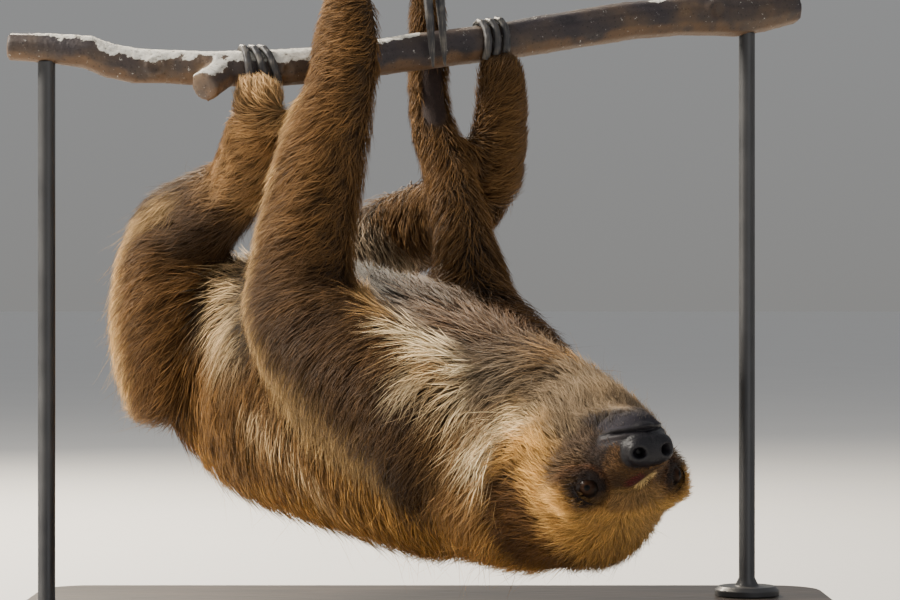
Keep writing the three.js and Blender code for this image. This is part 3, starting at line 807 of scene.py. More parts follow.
def face_layers(q):
    p = folded(q)
    across, forward, dorsal = q.T
    yield BROW_CREAM, 0.5 * ease(dorsal, 16, 34) * ease(forward, 10, 30)
    # grey-brown of the cheeks and throat, darkened in part as painted shade
    yield CHEEK_GREY_AND_SHADE, 0.9 * ease(dorsal + 0.45 * p[:, 0], 8, -10) * ease(p[:, 0], 42, 26)
    yield TEMPLE_BROWN, 0.9 * ease(path_distance(p, TEMPLE), 27, 13)
    yield CROWN_BROWN, 0.8 * ease(forward, 8, -22) * ease(dorsal, -4, 20)
    yield TEMPLE_BROWN, 0.7 * ease(p[:, 0], 28, 46) * ease(forward, 16, -4) * ease(dorsal, -16, -2)
    # tan of the muzzle, darkened in part as painted shade
    yield MUZZLE_TAN_AND_SHADE, ease(forward, 38, 48) * ease(dorsal, -27, -20) * ease(dorsal, 14, 6)
    yield CHIN_BLUE, 0.9 * np.maximum(chin, ease(mouth, 22, 12) * (side < -2))
    yield WARM_MASK, 0.9 * ease(line_distance(p, *WIDE_BAND), 13, 7)
    yield MASK_BROWN, 0.95 * ease(line_distance(p, *BAND), 10, 4.5)
    yield MASK_BROWN, 0.4 * ease(line_distance(p, *INNER_SIDE), 8.5, 4)
    yield BRIDGE_TAN, 0.7 * ease(line_distance(q, *BRIDGE), 9, 4)
    ring = around_eye + 1.2 * ease(p[:, 0], 30, 38) - 1.5 * ease(p[:, 0], 26, 18)
    ring += 3.5 * ease(-across, 27, 34)
    yield RING_RUST, 0.5 * ease(ring, 15.5, 12) * (along_eye > -8)
    yield MASK_BROWN, ease(ring, 12.8, 10) * (along_eye > -8)
    yield STAIN_RED, ease(line_distance(q, *STAIN), 3.6, 2.0)
    yield CREAM_STRIPE, ease(line_distance(q, *STRIPE), 2.4, 1.2)


def bare_layers():
    """The skin's colours where the head is bare, with a painted sheen on the upper lip."""
    yield CHIN_BLUE, chin
    yield LIP_BLACK, np.maximum(lips, lip_tip)
    # purple-grey of the upper lip, made lighter in part as a painted sheen
    yield UPPER_LIP_GREY_AND_SHEEN, 0.9 * lips * ease(side, 0.6, 2.0) * ease(mouth, 1.2, 3.0)
    yield EYE_RING, ease(around_eye, 12, 9) * (along_eye > -4)
    yield NOSE_BLACK, nose_pad


part_colours = np.array([PART_COLOUR.get(n, PART_COLOUR.get(kind_of(n))) for n in FLESH])
tint = painted(spread(part_colours[part_of], edges, 40), coat_layers())
tint = painted(tint, face_layers(marks), head_points)
uneven = 1 + 0.16 * noise(inner, 45 * MM, 11) + 0.14 * noise(inner, 16 * MM, 12)
tint = np.clip(tint * uneven[:, None], 0, 1)
UNDERCOAT_PAINTED_SHADE = 0.4  # painted shade: the skin under fur is darkened, as the coat shades it
hide = mixed(tint * UNDERCOAT_PAINTED_SHADE, PALM_BLACK, palm)
hide = np.clip(painted(hide, bare_layers(), head_points), 0, 1)

# %% Store what the coat needs
opaque = np.ones((count, 1))
gloss = nose_pad + 0.8 * np.maximum(lips, lip_tip) + 0.4 * palm + 0.3 * eye_bare
for name, values, kind in [
    ("tint", np.hstack([tint, opaque]), "FLOAT_COLOR"), ("hide", np.hstack([hide, opaque]), "FLOAT_COLOR"),
    ("gloss", gloss, "FLOAT"), ("furred", furred, "FLOAT"), ("coat_depth", depth * MM, "FLOAT"),
    ("coat_length", length * MM, "FLOAT"), ("lie", lie, "FLOAT_VECTOR"),
    ("outward", outward, "FLOAT_VECTOR"),
]:
    keep_values(skin_mesh, name, values, kind)
print("values stored on the skin:", len(skin_mesh.attributes))

# %% [markdown]
# ## An unwrap of the skin
#
# The tufts take their place on the bake map from the skin under them, so the skin is
# unwrapped first.  Its own shape decides the islands: faces that look roughly the same
# way stay together.

# %% Unwrap
skin = piece_from("skin", skin_mesh)
bpy.context.view_layer.objects.active = skin
skin.select_set(True)
bpy.ops.object.mode_set(mode="EDIT")
bpy.ops.mesh.select_all(action="SELECT")
bpy.ops.uv.smart_project(angle_limit=math.radians(66), island_margin=0.002)
bpy.ops.object.mode_set(mode="OBJECT")
skin_mesh.uv_layers.active.name = "OFBake"
print("unwrapped", len(skin_mesh.polygons), "faces")

# %% [markdown]
# ## Finishes
#
# Materials are small node trees.  A helper adds a node, sets its options and links or
# fills its inputs by name, so that each finish reads as a short recipe.


# %% Node helper
def node(tree, kind, inputs=(), output=0, **options):
    """Adds a node and returns one of its outputs.  inputs is a dict by name, or a list."""
    made = tree.nodes.new(kind)
    for option, value in options.items():
        setattr(made, option, value)
    active = [s for s in made.inputs if s.enabled]
    pairs = inputs.items() if isinstance(inputs, dict) else enumerate(inputs)
    for key, value in pairs:
        socket = active[key] if isinstance(key, int) else next(s for s in active if s.name == key)
        if isinstance(value, bpy.types.NodeSocket):
            tree.links.new(value, socket)
        elif value is not None:
            socket.default_value = value
    shown = [s for s in made.outputs if s.enabled]
    return shown[output] if shown else made


def finish(name, build, **constants):
    """A material whose build function returns sockets for a Principled shader."""
    look = bpy.data.materials.new(name)
    look.use_nodes = True
    tree = look.node_tree
    shader = tree.nodes["Principled BSDF"]
    for socket, value in constants.items():
        shader.inputs[socket.replace("_", " ")].default_value = value
    for socket, value in build(tree).items():
        tree.links.new(value, shader.inputs[socket])
    return look


def colour_ramp(tree, share, stops):
    made = tree.nodes.new("ShaderNodeValToRGB")
    tree.links.new(share, made.inputs[0])
    ramp = made.color_ramp
    ramp.elements[0].position, ramp.elements[1].position = stops[0][0], stops[-1][0]
    for place, _ in stops[1:-1]:
        ramp.elements.new(place)
    for element, (_, colour) in zip(ramp.elements, stops):
        element.color = (*colour, 1)
    return made.outputs["Color"]


def here(tree):
    return node(tree, "ShaderNodeTexCoord", output=3)


def stored(tree, name, output=0):
    made = tree.nodes.new("ShaderNodeAttribute")
    made.attribute_name = name
    return made.outputs[output]


VALUE = 2  # the number of an Attribute node's plain value output


def grain(tree, scale, detail=2.0, at=None, **more):
    """Soft noise over the piece, or over other coordinates."""
    place = here(tree) if at is None else at
    return node(tree, "ShaderNodeTexNoise", {"Vector": place, "Scale": scale, "Detail": detail, **more})


def drawn_out(tree, *scale):
    """The piece's coordinates, scaled so that a pattern on them is drawn out one way."""
    return node(tree, "ShaderNodeMapping", {"Vector": here(tree), "Scale": scale})


def ranged(tree, value, *limits):
    """A value carried over: from its low and high to a new low and high."""
    return node(tree, "ShaderNodeMapRange", [value, *limits])


def blended(tree, share, colour, other, way="MIX"):
    sockets = {"Factor": share, "A": colour, "B": other}
    return node(tree, "ShaderNodeMix", sockets, data_type="RGBA", blend_type=way)


def bump(tree, height, distance, strength=0.6):
    sockets = {"Height": height, "Distance": distance, "Strength": strength}
    return node(tree, "ShaderNodeBump", sockets)


# %% Skin and coat finishes
def skin_look(tree):
    scales = node(tree, "ShaderNodeTexVoronoi", {"Vector": here(tree), "Scale": 1100.0})
    soft = grain(tree, 350.0, 3.0)
    height = node(tree, "ShaderNodeMath", [scales, soft], operation="ADD")
    rough = ranged(tree, stored(tree, "gloss", VALUE), 0.0, 1.0, 0.95, 0.4)
    shade = ranged(tree, soft, 0.3, 0.7, 0.8, 1.15)
    colour = blended(tree, 1.0, stored(tree, "hide"), shade, "MULTIPLY")
    return {"Base Color": colour, "Roughness": rough, "Normal": bump(tree, height, 0.0004)}


def coat_look(tree):
    """Painted shade darkens each tuft towards its root; the tip is lighter and warmer."""
    along = stored(tree, "along", VALUE)
    shade = colour_ramp(tree, along, [
        (0.0, (0.3, 0.27, 0.25)), (0.45, (0.85, 0.83, 0.81)), (1.0, (1.45, 1.4, 1.3)),
    ])
    return {"Base Color": blended(tree, 1.0, stored(tree, "tint"), shade, "MULTIPLY")}


SKIN = finish("bare hide", skin_look, Specular_IOR_Level=0.3)
HAIR = {"Roughness": 0.6, "Specular_IOR_Level": 0.22, "Sheen_Weight": 0.05, "Sheen_Roughness": 0.4}
COATS = {
    slot: finish(name, coat_look, **HAIR)
    for slot, name in [("coat", "body coat"), ("limb_coat", "limb coat"), ("face_coat", "head coat")]
}
skin_mesh.materials.clear()
skin_mesh.materials.append(SKIN)

# %% [markdown]
# ## Tufts
#
# Hair lies in locks of many fine hairs, and a lock can be one thin closed blade.  Tens of
# thousands are needed, all following one rule, which is work for Geometry Nodes: points
# are strewn over the skin, each one traces the lie of the coat in three short steps over
# the surface, and a slim cone is bent along that path.  Locks lean towards common points,
# as real fur gathers into wisps, and those marked to hang fall free of the body.

# %% Sockets of the tuft tree
TUFT_INPUTS = [
    ("Part", "Int"), ("Tufts per square metre", "Float"), ("Segments", "Int"),
    ("Width", "Float"), ("Length", "Float"), ("Lift", "Float"), ("Gather", "Float"),
    ("Wander", "Float"), ("Hang", "Float"), ("Stand", "Float"),
    ("Wisps per square metre", "Float"), ("Seed", "Int"),
    ("Finish", "Material"),
]


def maths(tree, operation, *values):
    return node(tree, "ShaderNodeMath", list(values), operation=operation)


def vector(tree, operation, *values):
    return node(tree, "ShaderNodeVectorMath", list(values), operation=operation)


def product(tree, first, *others):
    for other in others:
        first = maths(tree, "MULTIPLY", first, other)
    return first


def added(tree, first, *others):
    for other in others:
        first = vector(tree, "ADD", first, other)
    return first


def scaled(tree, value, factor):
    return node(tree, "ShaderNodeVectorMath", {"Vector": value, "Scale": factor}, operation="SCALE")


def named(tree, name, kind="FLOAT"):
    return node(tree, "GeometryNodeInputNamedAttribute", [name], data_type=kind)


def chance(tree, low, high, seed):
    return node(tree, "FunctionNodeRandomValue", {"Min": low, "Max": high, "Seed": seed})


def kept(tree, geometry, name, value, kind="FLOAT_VECTOR", domain="POINT"):
    return node(
        tree, "GeometryNodeStoreNamedAttribute", {"Geometry": geometry, "Name": name, "Value": value},
        data_type=kind, domain=domain)


# %% Size and wisp of one tuft
def tuft_sizes(tree, given):
    """The length and height of each tuft, and the layer of the coat it lies in."""
    long = product(tree, named(tree, "coat_length"), given["Length"], chance(tree, 0.6, 1.15, 1))
    layer = maths(tree, "POWER", chance(tree, 0.0, 1.0, 2), 0.7)
    lift = maths(tree, "MULTIPLY_ADD", layer, 0.8, 0.28)
    return long, product(tree, named(tree, "coat_depth"), given["Lift"], lift), layer


def wisp_pull(tree, surface, given, root):
    """The way from each root to the middle of its wisp, as far as tufts gather."""
    wisps = node(
        tree, "GeometryNodeDistributePointsOnFaces",
        {"Mesh": surface, "Density": given["Wisps per square metre"], "Seed": given["Seed"]})
    nearest = node(tree, "GeometryNodeSampleNearest", [wisps, root])
    heart = node(
        tree, "GeometryNodeSampleIndex",
        {"Geometry": wisps, "Value": node(tree, "GeometryNodeInputPosition"), "Index": nearest},
        data_type="FLOAT_VECTOR")
    return scaled(tree, vector(tree, "SUBTRACT", heart, root), given["Gather"])


# %% Path of one tuft over the skin
ROOT_SINK = 0.8 * MM
PULLED = 0.4  # how far a tip leans towards the middle of its wisp
FREE_REACH, FREE_DROP = 0.3, -0.05  # each step of a hanging tuft, as shares of its length


def trace_path(tree, surface, given, root, normal):
    """Four points of each tuft's middle line, its sideways direction and its layer."""
    long, tall, layer = tuft_sizes(tree, given)
    pull = wisp_pull(tree, surface, given, root)
    veer = product(tree, chance(tree, -1.0, 1.0, 3), given["Wander"])
    curl = product(tree, chance(tree, -1.0, 1.0, 6), given["Wander"])
    wave = product(tree, maths(tree, "SUBTRACT", grain(tree, 80.0, 1.0, root), 0.5), 1.6)
    tip = maths(tree, "POWER", chance(tree, 0.0, 1.0, 7), 2.5)  # a few tips stand out
    tip = maths(tree, "MULTIPLY_ADD", tip, given["Stand"], 1.02)
    flow, spot, up, start = named(tree, "lie", "FLOAT_VECTOR"), root, normal, None
    path = [added(tree, root, scaled(tree, normal, -ROOT_SINK))]
    for step, (height, pulled) in enumerate([(0.62, 0.15), (1.0, 0.55), (tip, 1.0)], 1):
        angle = maths(tree, "ADD", maths(tree, "MULTIPLY_ADD", curl, step - 1.0, veer), wave)
        turned = node(
            tree, "ShaderNodeVectorRotate", {"Vector": flow, "Axis": up, "Angle": angle},
            rotation_type="AXIS_ANGLE")
        way = vector(tree, "NORMALIZE", turned)
        start = start or way
        onward = scaled(tree, way, maths(tree, "DIVIDE", long, 3.0))
        ahead = added(tree, spot, onward, scaled(tree, pull, pulled * PULLED))
        spot = node(tree, "GeometryNodeProximity", {"Geometry": surface, "Sample Position": ahead})
        up, flow = (
            node(
                tree, "GeometryNodeSampleNearestSurface",
                {"Mesh": surface, "Value": named(tree, name, "FLOAT_VECTOR"), "Sample Position": spot},
                data_type="FLOAT_VECTOR")
            for name in ("outward", "lie")
        )
        laid = added(tree, spot, scaled(tree, up, product(tree, tall, height)))
        drop = node(tree, "ShaderNodeCombineXYZ", {"Z": product(tree, long, FREE_DROP * step * step)})
        reach = scaled(tree, start, product(tree, long, FREE_REACH * step))
        free = added(tree, root, scaled(tree, normal, tall), reach, drop)
        loose = product(tree, given["Hang"], (step / 3) ** 2)
        path.append(added(tree, laid, scaled(tree, vector(tree, "SUBTRACT", free, laid), loose)))
    side = vector(tree, "NORMALIZE", vector(tree, "CROSS_PRODUCT", normal, start))
    return path, side, layer


# %% Roots strewn over the skin
PATH = [f"path_{i}" for i in range(4)]


def tuft_light(tree, layer, root):
    """How light each tuft is: a few pale ones, painted shade that darkens the deeper layers, and broad
    streaks.
    """
    pale = maths(tree, "POWER", chance(tree, 0.0, 1.0, 5), 2.2)
    light = maths(tree, "MULTIPLY_ADD", pale, 0.85, 0.05)
    light = maths(tree, "MULTIPLY_ADD", layer, 0.45, light)
    return maths(tree, "ADD", light, product(tree, grain(tree, 130.0, 2.0, root), 0.85))


def strewn_roots(tree, surface, given):
    """Points on one part of the skin, with all that their blades need stored on them."""
    ours = node(
        tree, "FunctionNodeCompare", [named(tree, "part", "INT"), given["Part"]],
        data_type="INT", operation="EQUAL")
    density = product(tree, named(tree, "furred"), given["Tufts per square metre"])
    strewn = tree.nodes.new("GeometryNodeDistributePointsOnFaces")
    sockets = {"Mesh": surface, "Selection": ours, "Density": density, "Seed": given["Seed"]}
    for socket, value in sockets.items():
        tree.links.new(value, strewn.inputs[socket])
    points, normal = strewn.outputs["Points"], strewn.outputs["Normal"]
    root = node(tree, "GeometryNodeInputPosition")
    path, side, layer = trace_path(tree, surface, given, root, normal)
    carried = dict(zip(PATH, path)) | {
        "side": side, "up": normal, "map_place": named(tree, "OFBake", "FLOAT_VECTOR"),
    }
    for name, value in carried.items():
        points = kept(tree, points, name, value)
    wide = product(tree, given["Width"], chance(tree, 0.6, 1.25, 4))
    points = kept(tree, points, "wide", wide, "FLOAT")
    tint = scaled(tree, named(tree, "tint", "FLOAT_VECTOR"), tuft_light(tree, layer, root))
    points = kept(tree, points, "tint", tint)
    return node(tree, "GeometryNodeRemoveAttribute", {"Geometry": points, "Name": "OFBake"})


# %% Blades bent along the paths
PATCH = 0.003  # width of one tuft's patch on the bake map
BELLY_OF_BLADE, BLADE_THICK = 1.3, 0.5  # extra width towards the middle, and thickness for width


def bezier(tree, t, points):
    """A smooth curve through the first and last of four stored points."""
    back = maths(tree, "SUBTRACT", 1.0, t)
    terms = []
    for power, (times, point) in enumerate(zip((1, 3, 3, 1), points)):
        share = product(tree, maths(tree, "POWER", t, float(power)), times)
        share = product(tree, share, maths(tree, "POWER", back, float(3 - power)))
        terms.append(scaled(tree, named(tree, point, "FLOAT_VECTOR"), share))
    return added(tree, *terms)


def bent_blades(tree, points, given):
    """A slim three-sided cone on each root, bent along its path, with its own map patch."""
    blade = node(
        tree, "GeometryNodeMeshCone",
        {"Vertices": 3, "Side Segments": given["Segments"], "Radius Bottom": 1.0, "Depth": 1.0})
    blade = kept(tree, blade, "local", node(tree, "GeometryNodeInputPosition"))
    tufts = node(tree, "GeometryNodeInstanceOnPoints", {"Points": points, "Instance": blade})
    tufts = node(tree, "GeometryNodeRealizeInstances", [tufts])
    local = node(tree, "ShaderNodeSeparateXYZ", [named(tree, "local", "FLOAT_VECTOR")]).node
    x, y, along = local.outputs
    fuller = maths(tree, "MULTIPLY_ADD", along, BELLY_OF_BLADE, 1.0)
    fuller = product(tree, named(tree, "wide"), fuller)
    across = scaled(tree, named(tree, "side", "FLOAT_VECTOR"), product(tree, x, fuller))
    thick = scaled(tree, named(tree, "up", "FLOAT_VECTOR"), product(tree, y, fuller, BLADE_THICK))
    place = added(tree, bezier(tree, along, PATH), added(tree, across, thick))
    tufts = node(tree, "GeometryNodeSetPosition", {"Geometry": tufts, "Position": place})
    tufts = kept(tree, tufts, "along", along, "FLOAT")
    upward = maths(tree, "MULTIPLY_ADD", along, PATCH, -PATCH / 2)
    patch = node(tree, "ShaderNodeCombineXYZ", [product(tree, x, PATCH / 2), upward])
    on_map = added(tree, named(tree, "map_place", "FLOAT_VECTOR"), patch)
    return kept(tree, tufts, "OFBake", on_map, "FLOAT2", "CORNER")


# %% The tuft tree
def tuft_tree():
    tree = bpy.data.node_groups.new("tufts on a skin", "GeometryNodeTree")
    for name, kind in [("Geometry", "Geometry"), *TUFT_INPUTS]:
        tree.interface.new_socket(name, in_out="INPUT", socket_type="NodeSocket" + kind)
    tree.interface.new_socket("Geometry", in_out="OUTPUT", socket_type="NodeSocketGeometry")
    given = {s.name: s for s in tree.nodes.new("NodeGroupInput").outputs}
    tufts = bent_blades(tree, strewn_roots(tree, given["Geometry"], given), given)
    tufts = node(tree, "GeometryNodeSetShadeSmooth", {"Geometry": tufts, "Shade Smooth": True})
    tufts = node(tree, "GeometryNodeSetMaterial", {"Geometry": tufts, "Material": given["Finish"]})
    tree.links.new(tufts, tree.nodes.new("NodeGroupOutput").inputs[0])
    return tree


TUFTS = tuft_tree()
print("tuft tree:", len(TUFTS.nodes), "nodes")

# %% [markdown]
# ## Growing the coat
#
# Each part of the body grows its own piece of coat, small enough to stay a light mesh.
# Thick, long tufts suit the back, short fine ones the face and feet.  The trunk is large,
# so it is shared out between four pieces along its length and round its girth.

# %% Share the skin out between coat pieces
PIECES = [  # name, slot, tufts per square metre, segments, half width in mm, gather, hang
    ("coat_trunk_back_fore", "coat", 105e3, 3, 0.72, 0.6, 0.12),
    ("coat_trunk_back_hind", "coat", 105e3, 3, 0.72, 0.6, 0.12),
    ("coat_trunk_belly_fore", "coat", 180e3, 2, 0.45, 0.6, 0.05),
    ("coat_trunk_belly_hind", "coat", 160e3, 2, 0.48, 0.6, 0.05),
    ("coat_neck", "coat", 260e3, 3, 0.5, 0.6, 0.08),
    ("coat_head_back", "face_coat", 780e3, 2, 0.34, 0.5, 0.04),
    ("coat_face_left", "face_coat", 1700e3, 2, 0.24, 0.3, 0.0),
    ("coat_face_right", "face_coat", 1700e3, 2, 0.24, 0.3, 0.0),
    ("coat_upper_arm_left", "limb_coat", 360e3, 3, 0.44, 0.75, 0.2),
    ("coat_forearm_left", "limb_coat", 520e3, 2, 0.42, 0.7, 0.12),
    ("coat_hand_left", "limb_coat", 560e3, 2, 0.4, 0.6, 0.05),
    ("coat_upper_arm_right", "limb_coat", 220e3, 3, 0.55, 0.7, 0.1),
    ("coat_forearm_right", "limb_coat", 380e3, 2, 0.48, 0.7, 0.1),
    ("coat_hand_right", "limb_coat", 560e3, 2, 0.42, 0.6, 0.05),
    ("coat_thigh_left", "limb_coat", 270e3, 3, 0.5, 0.7, 0.15),
    ("coat_shank_left", "limb_coat", 420e3, 2, 0.46, 0.7, 0.15),
    ("coat_foot_left", "limb_coat", 620e3, 2, 0.42, 0.8, 0.1),
    ("coat_thigh_right", "limb_coat", 150e3, 3, 0.62, 0.7, 0.1),
    ("coat_shank_right", "limb_coat", 300e3, 2, 0.5, 0.7, 0.1),
    ("coat_foot_right", "limb_coat", 560e3, 2, 0.44, 0.7, 0.1),
]
FACE_COAT_FROM = 12  # millimetres forward where the face's finer coat begins
STRAYS = [  # the piece they grow among, strays per square metre, half width in mm, length
    ("coat_forearm_left", 22e3, 0.2, 1.25), ("coat_upper_arm_left", 24e3, 0.2, 1.2),
    ("coat_neck", 30e3, 0.2, 1.0), ("coat_thigh_left", 16e3, 0.2, 1.1),
    ("coat_shank_left", 20e3, 0.2, 1.2), ("coat_trunk_back_fore", 8e3, 0.22, 1.1),
    ("coat_head_back", 40e3, 0.16, 1.2), ("coat_trunk_back_hind", 5e3, 0.22, 1.1),
]


def piece_names():
    """The coat piece that each point of the skin belongs to."""
    names = np.array(["coat_" + n for n in FLESH], dtype=object)[part_of]
    belly = np.where(outward[:, 2] > 0.1, "belly", "back")
    share = np.where(inner[:, 0] * 0.5 - inner[:, 1] > -0.05, "fore", "hind")
    trunk = kinds[part_of] == "trunk"
    names[trunk] = [f"coat_trunk_{b}_{s}" for b, s in zip(belly[trunk], share[trunk])]
    q = q_outline[head_points]
    half = np.where(q[:, 0] > 0, "coat_face_left", "coat_face_right")
    names[head_points] = np.where(q[:, 1] > FACE_COAT_FROM, half, "coat_head_back")
    return names


def number_faces():
    """Stores the number of its coat piece on each face of the skin."""
    numbers = {row[0]: i for i, row in enumerate(PIECES)}
    of_point = np.array([numbers[n] for n in piece_names()])
    first = np.empty(len(skin_mesh.polygons), np.int64)
    skin_mesh.polygons.foreach_get("loop_start", first)
    corner = np.empty(len(skin_mesh.loops), np.int64)
    skin_mesh.loops.foreach_get("vertex_index", corner)
    keep_values(skin_mesh, "part", of_point[corner[first]], "INT", "FACE")


number_faces()

# %% Grow each piece
KEPT = {"position", ".edge_verts", ".corner_vert", ".corner_edge", "tint", "along", "OFBake",
        "sharp_face", "material_index"}
COAT_SHARE = 1.0


def triangles(piece):
    return sum(len(face.vertices) - 2 for face in piece.data.polygons)


def grown(name, values):
    """One piece of coat as a plain mesh."""
    ground = piece_from(name, skin_mesh)
    growth = ground.modifiers.new("tufts", "NODES")
    growth.node_group = TUFTS
    sockets = {s.name: s.identifier for s in TUFTS.interface.items_tree if s.in_out == "INPUT"}
    for socket, value in values.items():
        growth[sockets[socket]] = value
    mesh = finished_mesh(ground)
    ground.modifiers.clear()
    ground.data = mesh
    mesh.name = name
    for extra in [a.name for a in mesh.attributes if a.name not in KEPT]:
        mesh.attributes.remove(mesh.attributes[extra])
    return ground


TUFT = {"Length": 1.0, "Lift": 1.0, "Wander": 0.22, "Stand": 0.35, "Wisps per square metre": 9000.0}
STRAY = TUFT | {"Segments": 3, "Lift": 1.25, "Gather": 0.0, "Wander": 0.8, "Hang": 0.15, "Stand": 1.6}
FIRST_SEED, FIRST_STRAY_SEED = 20, 60
coat_pieces = {}
for number, (name, slot, thick, segments, half, gather, hang) in enumerate(PIECES):
    coat_pieces[name] = grown(name, TUFT | {
        "Part": number, "Tufts per square metre": thick * COAT_SHARE, "Segments": segments,
        "Width": half * MM, "Gather": gather, "Hang": hang, "Seed": FIRST_SEED + number,
        "Finish": COATS[slot],
    })
    print(name, triangles(coat_pieces[name]), "triangles")
order = [row[0] for row in PIECES]
for source, thick, half, long in STRAYS:
    number = order.index(source)
    name = source.replace("coat", "strays")
    coat_pieces[name] = grown(name, STRAY | {
        "Part": number, "Tufts per square metre": thick, "Width": half * MM, "Length": long,
        "Seed": FIRST_STRAY_SEED + number, "Finish": COATS[PIECES[number][1]],
    })
print("coat:", sum(map(triangles, coat_pieces.values())), "triangles")

# %% [markdown]
# ## Eyes
#
# The eyeball is a sphere with a clear, slightly bulging cornea in front.  One surface with
# a wet clear coat reads as both, if the pupil and iris are painted by the distance from the
# line of sight.  That distance is stored on the mesh, so the pattern stays with the eye.

# %% Eyeballs
PUPIL, IRIS = 1.7, 5.4  # millimetres from the line of sight


def eyeball(name, mirror):
    sight, middle = (mirrored(v[None])[0] if mirror else v for v in (GAZE, EYE_AT))
    shape = bmesh.new()
    bmesh.ops.create_uvsphere(shape, u_segments=64, v_segments=48, radius=1.0)
    mesh = mesh_of(name, shape)
    local = points_of(mesh)  # its pole, +Z, looks along the line of sight
    across = unit(np.cross(sight, [[0, 0, 1.0]]))[0]
    tall = np.cross(across, sight)
    off = np.hypot(local[:, 0], local[:, 1]) * EYE_RADIUS
    front = local[:, 2] > 0
    bulge = 0.7 * ease(off, IRIS + 1.2, 0) * front
    q = middle + EYE_RADIUS * (local @ np.array([across, tall, sight])) + np.outer(bulge, sight)
    set_points(mesh, from_head(q))
    keep_values(mesh, "from_sight", np.where(front, off, EYE_RADIUS))
    keep_values(mesh, "round_sight", np.arctan2(local[:, 1], local[:, 0]))
    check = bmesh.new()
    check.from_mesh(mesh)
    bmesh.ops.recalc_face_normals(check, faces=check.faces)
    check.to_mesh(mesh)
    check.free()
    mesh.shade_smooth()
    return piece_from(name, mesh)


def eye_look(tree):
    off = stored(tree, "from_sight", VALUE)
    turn = stored(tree, "round_sight", VALUE)
    around = {"W": turn, "Scale": 9.0, "Detail": 3.0}
    spokes = node(tree, "ShaderNodeTexNoise", around, noise_dimensions="1D")
    spokes = ranged(tree, spokes, 0.3, 0.7, 0.65, 1.3)
    share = maths(tree, "DIVIDE", off, EYE_RADIUS)
    rings = colour_ramp(tree, share, [
        (0.0, (0.002, 0.002, 0.002)), (PUPIL / EYE_RADIUS, (0.002, 0.002, 0.002)),
        (PUPIL / EYE_RADIUS + 0.05, (0.026, 0.01, 0.003)),
        (IRIS / EYE_RADIUS - 0.2, (0.016, 0.006, 0.002)),
        (IRIS / EYE_RADIUS, (0.006, 0.004, 0.003)), (1.0, (0.02, 0.014, 0.012)),
    ])
    return {"Base Color": blended(tree, 1.0, rings, spokes, "MULTIPLY")}


EYE_FINISH = finish(
    "eye", eye_look, Roughness=0.5, Specular_IOR_Level=0.05, Coat_Weight=0.12, Coat_Roughness=0.06)
eyes = {side: eyeball(f"eyeball_{side}", side == "right") for side in ("left", "right")}
for eye in eyes.values():
    eye.data.materials.append(EYE_FINISH)
print("eyes made")

# %% [markdown]
# ## Claws
#
# Horn grows in long fibres and wears smooth.  The construction claws are coarse tubes of
# the right size, so fine meshes are drawn over them and relaxed, and the streaks run round
# the branch with the claw.


# %% Claw meshes
def fine_copy(name, node_name, voxel, rounds):
    """A node drawn again with a fine, even mesh and no facets."""
    fine = remeshed(name, mesh_of(name, merged(node_name)), voxel)
    set_points(fine, relaxed(points_of(fine), edges_of(fine), rounds, 0.51))
    fine.shade_smooth()
    return piece_from(name, fine)


def claw_look(tree):
    soft = grain(tree, 120.0, 4.0)
    fibres = grain(tree, 1.0, 2.0, drawn_out(tree, 1400.0, 120.0, 120.0))
    share = maths(tree, "ADD", maths(tree, "MULTIPLY", soft, 0.55), maths(tree, "MULTIPLY", fibres, 0.45))
    colour = colour_ramp(tree, share, [
        (0.3, (0.02, 0.02, 0.024)), (0.5, (0.055, 0.053, 0.055)), (0.72, (0.2, 0.18, 0.15)),
    ])
    rough = ranged(tree, soft, 0.3, 0.7, 0.42, 0.55)
    return {"Base Color": colour, "Roughness": rough, "Normal": bump(tree, fibres, 0.0003, 0.35)}


CLAW_FINISH = finish("claw horn", claw_look, Specular_IOR_Level=0.35)
claws = {n: fine_copy("fine_" + n, n, 0.75 * MM, 14) for n in claw_nodes}
for claw in claws.values():
    claw.data.materials.append(CLAW_FINISH)
print("claws:", sum(len(c.data.polygons) for c in claws.values()), "faces")

# %% [markdown]
# ## The branch
#
# Smooth purple-brown bark shows below and on the sides, and a crust of pale grey lichen
# covers the top, with a ragged edge.  Over the part where the light falls it reaches further
# down, partly as a painted highlight.  The crust has a real thickness of about half a
# millimetre, so it is moved out in the mesh, with cracks and pits from noise.

# %% Branch mesh
BRANCH_VOXEL = 1.7 * MM
KNOTS = [(212, 452, 7.5), (-186, 400, 6), (-96, 398, 5)]  # X, Z and half size in millimetres
branch = fine_copy("branch", "perch_branch", BRANCH_VOXEL, 12)


